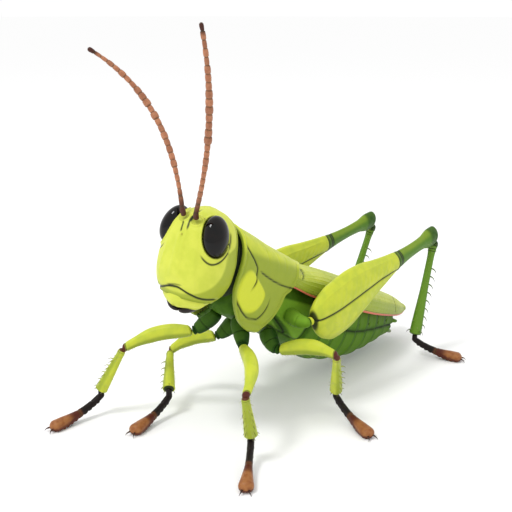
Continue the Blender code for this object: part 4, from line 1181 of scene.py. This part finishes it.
def club_marks(length):
    def marks(u, v, places):
        t = limb_share(v)
        high = squarer(np.cos(2 * math.pi * u), 1.8)
        groove_gap = (high - through(CLUB_GROOVE, t)) * CLUB_HEIGHT * through(CLUB_TALL, t)
        shown = ramp(-t, -CLUB_WAIST - 0.01, -CLUB_WAIST + 0.02)
        phase = np.mod((t * length - 1.9 * np.abs(high)) / CHEVRON_PITCH, 1.0)
        muscle = (ramp(-np.abs(high), -0.7, -0.56) * ramp(np.abs(groove_gap), 0.2, 0.5) * ramp(t, 0.05, 0.14)
                  * ramp(-t, -CLUB_WAIST, -0.53))
        knee_ring = ridge(np.hypot((t - 0.935) * length * 0.8, high * 1.3) - 0.75, 0.16)
        under = ramp(-groove_gap, -0.75, -0.1) * ramp(groove_gap, -0.1, 0.1) + ramp(-high, 0.75, 0.95)
        return {
            "chevrons": np.sin(2 * math.pi * phase) * muscle,
            "keels": ridge(np.abs(high) - 0.74, 0.05) * ramp(t, 0.04, 0.1) * ramp(-t, -0.62, -0.5),
            "crests": ridge(np.abs(high) - 1.0, 0.06) * ramp(t, 0.06, 0.12) * ramp(-t, -0.88, -0.8),
            "groove": shown * ridge(groove_gap, 0.12),
            "groove_banks": shown * ridge(groove_gap, 0.5),
            "groove_floor": shown * ridge(groove_gap, 0.13),
            "rings": np.clip(sum(ridge(t - ring, 0.0045) for ring in WAIST_RINGS), 0, 1),
            "crescent": knee_ring * ramp(t, 0.93, 0.95),
            "hip_line": ramp(-t, -0.014, -0.004),
            # Past the waist the thigh is its own dark green, left lighter over the top as painted light.
            "past_waist": ramp(t, CLUB_WAIST - 0.005, CLUB_WAIST + 0.005) * (1 - 0.3 * ramp(high, 0.1, 0.8)),
            # Painted shade just below the groove and along the very bottom.
            "below_groove": shown * under,
            # Painted shade over the lower half, with a paler band in it as a painted highlight.
            "lower": shown * ramp(-high, 0.0, 0.15) * (1 - 0.7 * ridge(high + 0.42, 0.22)),
            "knee": ramp(t, 0.9, 0.93),
            "waist": ramp(t, CLUB_WAIST, CLUB_WAIST + 0.004)
            * ramp(-t, -CLUB_WAIST - 0.04, -CLUB_WAIST - 0.034),
        }

    return marks


club_shell = shell_material("club_shell", LEAF_YELLOW, LEAF_MID, tint=KNEE_GREEN,
                            third=(0.03, 0.09, 0.006), pit=0.00032, pit_strength=0.2, gleam=0.14)
for name, leg in LEGS.items():
    if not leg["hind"]:
        continue
    start = leg["hip_end"]
    leg["thigh_form"] = limb_form(start, leg["knee"], leg["knee"] - leg["heel"], club_sizes,
                                  (0.02, 0.035), 1.8)
    marks = club_marks(np.linalg.norm(leg["knee"] - start))
    club = cast_shell(f"jumping_thigh_{name}", 180, 320, leg["thigh_form"],
                      *from_marks(marks, CLUB_HEIGHTS, CLUB_TONES))
    wear(club, club_shell, "leaf_green", f"femur_{name}")

# ---------------------------------------------------------------- shins
# Slim tubes of shell with rings below the knee and a flared lower end, reddish brown at the knee or, on the
# hind legs, dark. Horny spines stand in two rows along the back edge, with spurs round the ankle. Sizes in
# twos are for the front and middle legs first, then for the hind legs.
SHIN = ((0.0, 0.6), (0.05, 0.72), (0.12, 0.78), (0.25, 0.86), (0.6, 1.08), (0.9, 1.26), (0.975, 1.28),
        (1.0, 1.2))
HIND_SHIN = ((0.0, 0.8), (0.05, 1.0), (0.09, 0.86), (0.2, 0.72), (0.45, 0.78), (0.8, 1.08), (0.95, 1.2),
             (1.0, 1.1))
SHIN_RADIUS = (0.56, 0.66)
SHIN_START = (0.0, 0.95)
SPINES = (4, 8)
SPINE_LENGTH = (0.85, 1.2)
SPINE_THICKNESS = (0.09, 0.12)
SPUR_WAYS = ((1, 0.5), (1, -0.5), (-0.4, 0.9), (-0.4, -0.9))
SHIN_HEIGHTS = {"knee_ring": 0.04, "lower_knee_ring": 0.04, "ankle_ring": 0.03, "edges": 0.04}
SHIN_TONES = {"line": {"knee_line": 0.6, "ankle": 0.95}, "tint": {"behind": 0.6}, "third": {"knee": 0.9}}
HIND_SHIN_TONES = {"line": {"hind_knee_line": 0.9, "lower_knee_line": 0.9, "ankle": 0.95},
                   "tint": {"hind_behind": 0.75}, "third": {"hind_knee": 0.85}}
FOOT_TOP = 2.7
FOOT_DARK = (0.010, 0.006, 0.005)

shin_shell = shell_material("shin_shell", LEAF_YELLOW, LEAF_MID, tint=LEAF_PAINTED_SHADE, third=KNEE_BROWN,
                            pit=0.00025, pit_strength=0.2)
hind_shin_shell = shell_material("hind_shin_shell", KNEE_GREEN, (0.065, 0.16, 0.012),
                                 tint=(0.14, 0.27, 0.025), third=(0.015, 0.04, 0.005), pit=0.00025,
                                 pit_strength=0.2, gleam=0.12)
spine_horn = shell_material("spine_horn", (0.34, 0.38, 0.05), (0.26, 0.30, 0.04), tint=FOOT_DARK, line=None,
                            roughness=0.25, pit_strength=0.0)
hind_spine_horn = shell_material("hind_spine_horn", (0.12, 0.19, 0.03), (0.09, 0.15, 0.02), tint=FOOT_DARK,
                                 line=None, roughness=0.25, pit_strength=0.0)


def shin_marks(u, v, places):
    t = limb_share(v)
    edges = ridge_line(u, 0.1, 0.03) + ridge_line(u, -0.1, 0.03)
    return {
        "knee_ring": ridge(t - 0.075, 0.012),
        "lower_knee_ring": ridge(t - 0.115, 0.01),
        "ankle_ring": ridge(t - 0.975, 0.012),
        "edges": edges * ramp(t, 0.15, 0.25) * ramp(-t, -0.95, -0.9),
        "ankle": ramp(t, 0.985, 0.992),
        "knee_line": ridge(t - 0.075, 0.008),
        # Painted shade along the shin's back edge.
        "behind": ramp(np.cos(2 * math.pi * u), -0.1, 0.6),
        "knee": ramp(-t, -0.05, -0.04),
        "hind_knee_line": ridge(t - 0.1, 0.006),
        "lower_knee_line": ridge(t - 0.125, 0.005),
        "hind_behind": ramp(np.cos(2 * math.pi * (u + 0.4)), 0.2, 0.95),
        "hind_knee": ramp(-t, -0.09, -0.06),
    }


def add_thorn(bm, root, bend, tip, thickness, sides=8, rows=8):
    """A curved horny point, darker towards its tip."""
    form = tube_form(bent_line(root, bend, tip),
                     lambda v: thickness * (1 - 0.92 * v) * rounded_ends(v, 0.06, 0.04),
                     up=(0.31, 0.22, 0.92))
    roll_grid(bm, sides, rows, form, tones=lambda u, v, places: {"tint": ramp(v, 0.35, 0.9)})


for name, leg in LEGS.items():
    hind = leg["hind"]
    radius = SHIN_RADIUS[hind]
    lean = math.atan2(np.hypot(*(leg["knee"] - leg["heel"])[:2]), leg["knee"][2] - FOOT_TOP)
    ankle = leg["ankle"] = leg["heel"] + UP * (FOOT_TOP + 0.14 + radius * math.sin(lean))
    start, end = leg["knee"] + unit(ankle - leg["knee"]) * SHIN_START[hind], ankle
    behind = leg["knee"] - leg["hip"]

    def shin_sizes(t, radius=radius, outline=HIND_SHIN if hind else SHIN):
        return (radius * through(outline, t),) * 3

    leg["shin_form"] = limb_form(start, end, behind, shin_sizes, ends=(0.04, 0.02))
    shin = cast_shell(f"shin_{name}", 48, 130 if hind else 90, leg["shin_form"],
                      *from_marks(shin_marks, SHIN_HEIGHTS, HIND_SHIN_TONES if hind else SHIN_TONES))
    slot = "knee_green" if hind else "leaf_green"
    wear(shin, hind_shin_shell if hind else shin_shell, slot, f"tibia_{name}")

    bm = bmesh.new()
    axis, across, tall = limb_axes(start, end, behind)
    reach = np.linalg.norm(end - start)
    rows = [(0.3 + 0.66 * i / SPINES[hind], unit(tall + across * side), 1.0) for i in range(SPINES[hind])
            for side in (0.6, -0.6)]
    spurs = [(0.95, unit(tall * back + across * side), 0.85) for back, side in SPUR_WAYS]
    for share, way, part in rows + spurs:
        root = start + axis * reach * share + way * radius * 0.72
        long = SPINE_LENGTH[hind] * part
        add_thorn(bm, root, root + way * long * 0.6, root + unit(way + axis * 0.75) * long,
                  SPINE_THICKNESS[hind])
    wear(finished_piece(f"shin_spines_{name}", bm), hind_spine_horn if hind else spine_horn, slot)

# ---------------------------------------------------------------- feet
# Each foot is one horny shell with seams where its joints meet. A thin black, toothed part slopes down from
# the shin to an orange-brown club with a flat sole, and two curved claws are rooted in its tip.
FOOT_RUN = ((0.0, 0.0), (0.1, 0.0), (0.2, 0.07), (0.38, 0.28), (0.52, 0.48), (0.66, 0.66), (0.8, 0.82),
            (1.0, 1.0))
FOOT_RISE = ((0.1, 2.5), (0.2, 2.15), (0.38, 1.48), (0.52, 1.03), (0.66, 0.76), (0.8, 0.6), (1.0, 0.46))
FOOT_WIDTH = ((0.0, 0.32), (0.1, 0.36), (0.2, 0.38), (0.38, 0.37), (0.52, 0.43), (0.62, 0.54), (0.75, 0.68),
              (0.87, 0.8), (0.95, 0.74), (1.0, 0.55))
FOOT_DEPTH = ((0.0, 0.32), (0.1, 0.36), (0.2, 0.38), (0.38, 0.4), (0.52, 0.47), (0.62, 0.56), (0.75, 0.66),
              (0.87, 0.66), (0.95, 0.56), (1.0, 0.44))
FOOT_TEETH = 15
FOOT_HEIGHTS = {"seams": -0.05}
FOOT_TONES = {"line": {"middle_seam": 0.6}, "tint": {"black": 1.0}, "third": {"red": 1.0}}
FOOT_ORANGE = (0.33, 0.135, 0.045)
FOOT_BROWN = (0.25, 0.085, 0.026)
FOOT_RED = (0.085, 0.018, 0.009)


def foot_marks(u, v, places):
    t = limb_share(v)
    high = np.cos(2 * math.pi * u)
    black = np.maximum(ramp(-t, -0.54, -0.44), 0.9 * ramp(-high, 0.55, 0.85) * ramp(-t, -0.9, -0.8))
    red = ramp(-t, -0.72, -0.54) + 0.8 * ramp(-high, -0.25, 0.3)
    return {
        "seams": (ridge(t - 0.3, 0.01) + ridge(t - 0.5, 0.01)) * ramp(places[:, 2], 0.3, 0.5),
        "middle_seam": ridge(t - 0.5, 0.01),
        "black": black,
        "red": np.clip(red, 0, 1) * (1 - black),
    }


foot_shell = shell_material("foot_shell", FOOT_ORANGE, FOOT_BROWN, tint=FOOT_DARK, third=FOOT_RED,
                            roughness=0.38, pit=0.0002, pit_strength=0.35, mottle_size=0.0006, gleam=0.14)
claw_horn = shell_material("claw_horn", (0.06, 0.02, 0.01), (0.035, 0.012, 0.007), tint=FOOT_DARK, line=None,
                           roughness=0.2, pit_strength=0.0)
for name, leg in LEGS.items():
    scale = 1.1 if leg["hind"] else 1.0
    ahead = unit(leg["toe"] - leg["heel"])
    sideways = np.cross(UP, ahead)
    steps = np.linspace(0, 1, 241)
    run = through(FOOT_RUN, steps) * np.linalg.norm(leg["toe"] - leg["heel"])
    rise = through(((0.0, leg["ankle"][2] + 0.15), *FOOT_RISE), steps)
    slope = np.arctan2(np.gradient(rise), np.gradient(run))

    def foot_form(u, v, leg=leg, ahead=ahead, sideways=sideways, scale=scale, path=(run, rise, slope)):
        t = limb_share(v)
        along, level, lean = (np.interp(t, steps, column) for column in path)
        closing = rounded_ends(t, 0.03, 0.1)
        high, wide = squarer(np.cos(2 * math.pi * u), 2.2), squarer(np.sin(2 * math.pi * u), 2.2)
        teeth = (0.13 * np.abs(np.sin(math.pi * FOOT_TEETH * t)) * ramp(-high, 0.0, 0.6) * ramp(t, 0.18, 0.24)
                 * ramp(-t, -0.84, -0.76))
        up = high * (through(FOOT_DEPTH, t) * closing + teeth)
        out = wide * (scale * through(FOOT_WIDTH, t) * closing + 0.5 * teeth)
        level = np.maximum(level + np.cos(lean) * up, 0.0)
        along = along - np.sin(lean) * up
        return leg["heel"] + ahead * along[:, None] + sideways * out[:, None] + UP * level[:, None]

    foot = cast_shell(f"foot_{name}", 56, 190, foot_form, *from_marks(foot_marks, FOOT_HEIGHTS, FOOT_TONES))
    wear(foot, foot_shell, "foot_brown", f"tarsus_{name}")

    bm = bmesh.new()
    for side in (1, -1):
        root = leg["toe"] - ahead * 0.3 + sideways * side * 0.3 + UP * 0.42
        bend = root + ahead * 0.62 + sideways * side * 0.12 + UP * 0.1
        tip = root + ahead * 0.72 + sideways * side * 0.34 - UP * 0.36
        add_thorn(bm, root, bend, tip, 0.13, 12, 20)
    wear(finished_piece(f"claws_{name}", bm), claw_horn, "foot_brown")

# ---------------------------------------------------------------- bristles
# Sparse, pale hairs, fine as down, stand out from the shins and from the undersides of the thighs. Each is
# a solid, tapering three-sided thread rooted in the shell.
BRISTLES = {"thigh": 90, "shin": 130}
BRISTLE_LENGTHS = (0.22, 0.5)
BRISTLE_THICKNESS = 0.016
BRISTLE_PATCH = 0.0015

bristle_thread = shell_material("bristle_thread", (0.48, 0.46, 0.22), (0.40, 0.38, 0.15), line=None,
                                roughness=0.5, coat=0.0, pit_strength=0.0)
for number, (name, leg) in enumerate(LEGS.items()):
    chance = np.random.default_rng(40 + number)
    bm = bmesh.new()
    patch = bm.loops.layers.uv.new("OFBake")
    for part, count in BRISTLES.items():
        form = leg[f"{part}_form"]
        u = chance.uniform(0.0, 1.0, count) if part == "shin" else chance.uniform(0.3, 0.7, count)
        v = chance.uniform(0.12, 0.92, count)
        roots = form(u, v)
        down = form(u, v + 0.02) - roots
        ways = outward_normals(form, u, v) + 0.9 * down / np.linalg.norm(down, axis=1, keepdims=True)
        lengths = chance.uniform(*BRISTLE_LENGTHS, count)
        for root, way, long, across, along in zip(roots, ways, lengths, u, v):
            turn = Vector(way).to_track_quat("Z", "Y").to_matrix().to_4x4()
            middle = Vector(root + unit(way) * (long / 2 - 0.04)) * MM
            made = bmesh.ops.create_cone(bm, cap_ends=True, segments=3, radius1=BRISTLE_THICKNESS * MM,
                                         radius2=BRISTLE_THICKNESS * 0.1 * MM, depth=long * MM,
                                         matrix=Matrix.Translation(middle) @ turn)["verts"]
            for face in {face for vert in made for face in vert.link_faces}:
                for corner, loop in enumerate(face.loops):
                    angle = 2 * math.pi * corner / len(face.loops)
                    loop[patch].uv = (across + BRISTLE_PATCH * math.cos(angle),
                                      along + BRISTLE_PATCH * math.sin(angle))
    bmesh.ops.recalc_face_normals(bm, faces=bm.faces)
    wear(placed_piece(f"bristles_{name}", bm), bristle_thread, "leaf_green")

# ---------------------------------------------------------------- stage
# A wide sheet of white card lies under the animal in an evenly white room, with one small soft lamp above
# it and in front.
CARD_SIZE = 20.0
CARD_WHITE = (0.97, 0.97, 0.97)
ROOM_BRIGHTNESS = 1.01
LAMP_PLACE, LAMP_AIM = Vector((-0.05, -0.165, 0.30)), Vector((0, -0.01, 0.015))
LAMP_SIZE, LAMP_POWER = 0.075, 0.4

bm = bmesh.new()
bmesh.ops.create_grid(bm, x_segments=1, y_segments=1, size=CARD_SIZE)
stage = finished_piece("floor_sheet", bm)
card = new_material("pale_card", {"Base Color": (*CARD_WHITE, 1), "Roughness": 0.95,
                                  "Specular IOR Level": 0.0})[0]
stage.data.materials.append(card)

world = bpy.data.worlds.new("studio")
world.use_nodes = True
set_inputs(world.node_tree.nodes["Background"], {"Color": (1.0, 1.0, 1.0, 1), "Strength": ROOM_BRIGHTNESS})
bpy.context.scene.world = world
bpy.context.scene.view_settings.view_transform = "Standard"

lamp = bpy.data.objects.new("key", bpy.data.lights.new("key", "AREA"))
lamp.data.size = LAMP_SIZE
lamp.data.energy = LAMP_POWER
lamp.location = LAMP_PLACE
lamp.rotation_euler = (LAMP_AIM - LAMP_PLACE).to_track_quat("-Z", "Y").to_euler()
bpy.context.scene.collection.objects.link(lamp)

# ---------------------------------------------------------------- camera
# The camera looks at the animal from its front left, a little from above and from close by. Its place is
# given by its direction, its distance and a small slide across its view.
VIEW_AZIMUTH, VIEW_HEIGHT, VIEW_DISTANCE = 41.0, 15.5, 0.11256
VIEW_SLIDE = (-0.0059, 0.01618)
VIEW_MIDDLE = np.array((0.465, 6.852, 0.0))
VIEW_LENS, VIEW_FILM = 61.2, 36.0

azimuth, height = math.radians(VIEW_AZIMUTH), math.radians(VIEW_HEIGHT)
back = Vector((math.sin(azimuth) * math.cos(height), -math.cos(azimuth) * math.cos(height), math.sin(height)))
right = Vector((math.cos(azimuth), math.sin(azimuth), 0))
camera = bpy.data.objects.new("camera", bpy.data.cameras.new("camera"))
camera.location = (Vector((VIEW_MIDDLE + stance_shift) * MM) + back * VIEW_DISTANCE + right * VIEW_SLIDE[0]
                   + back.cross(right) * VIEW_SLIDE[1])
camera.rotation_euler = back.to_track_quat("Z", "Y").to_euler()
camera.data.lens = VIEW_LENS
camera.data.sensor_width = VIEW_FILM
camera.data.clip_start = 0.001
camera.data.clip_end = 100.0
bpy.context.scene.collection.objects.link(camera)
bpy.context.scene.camera = camera
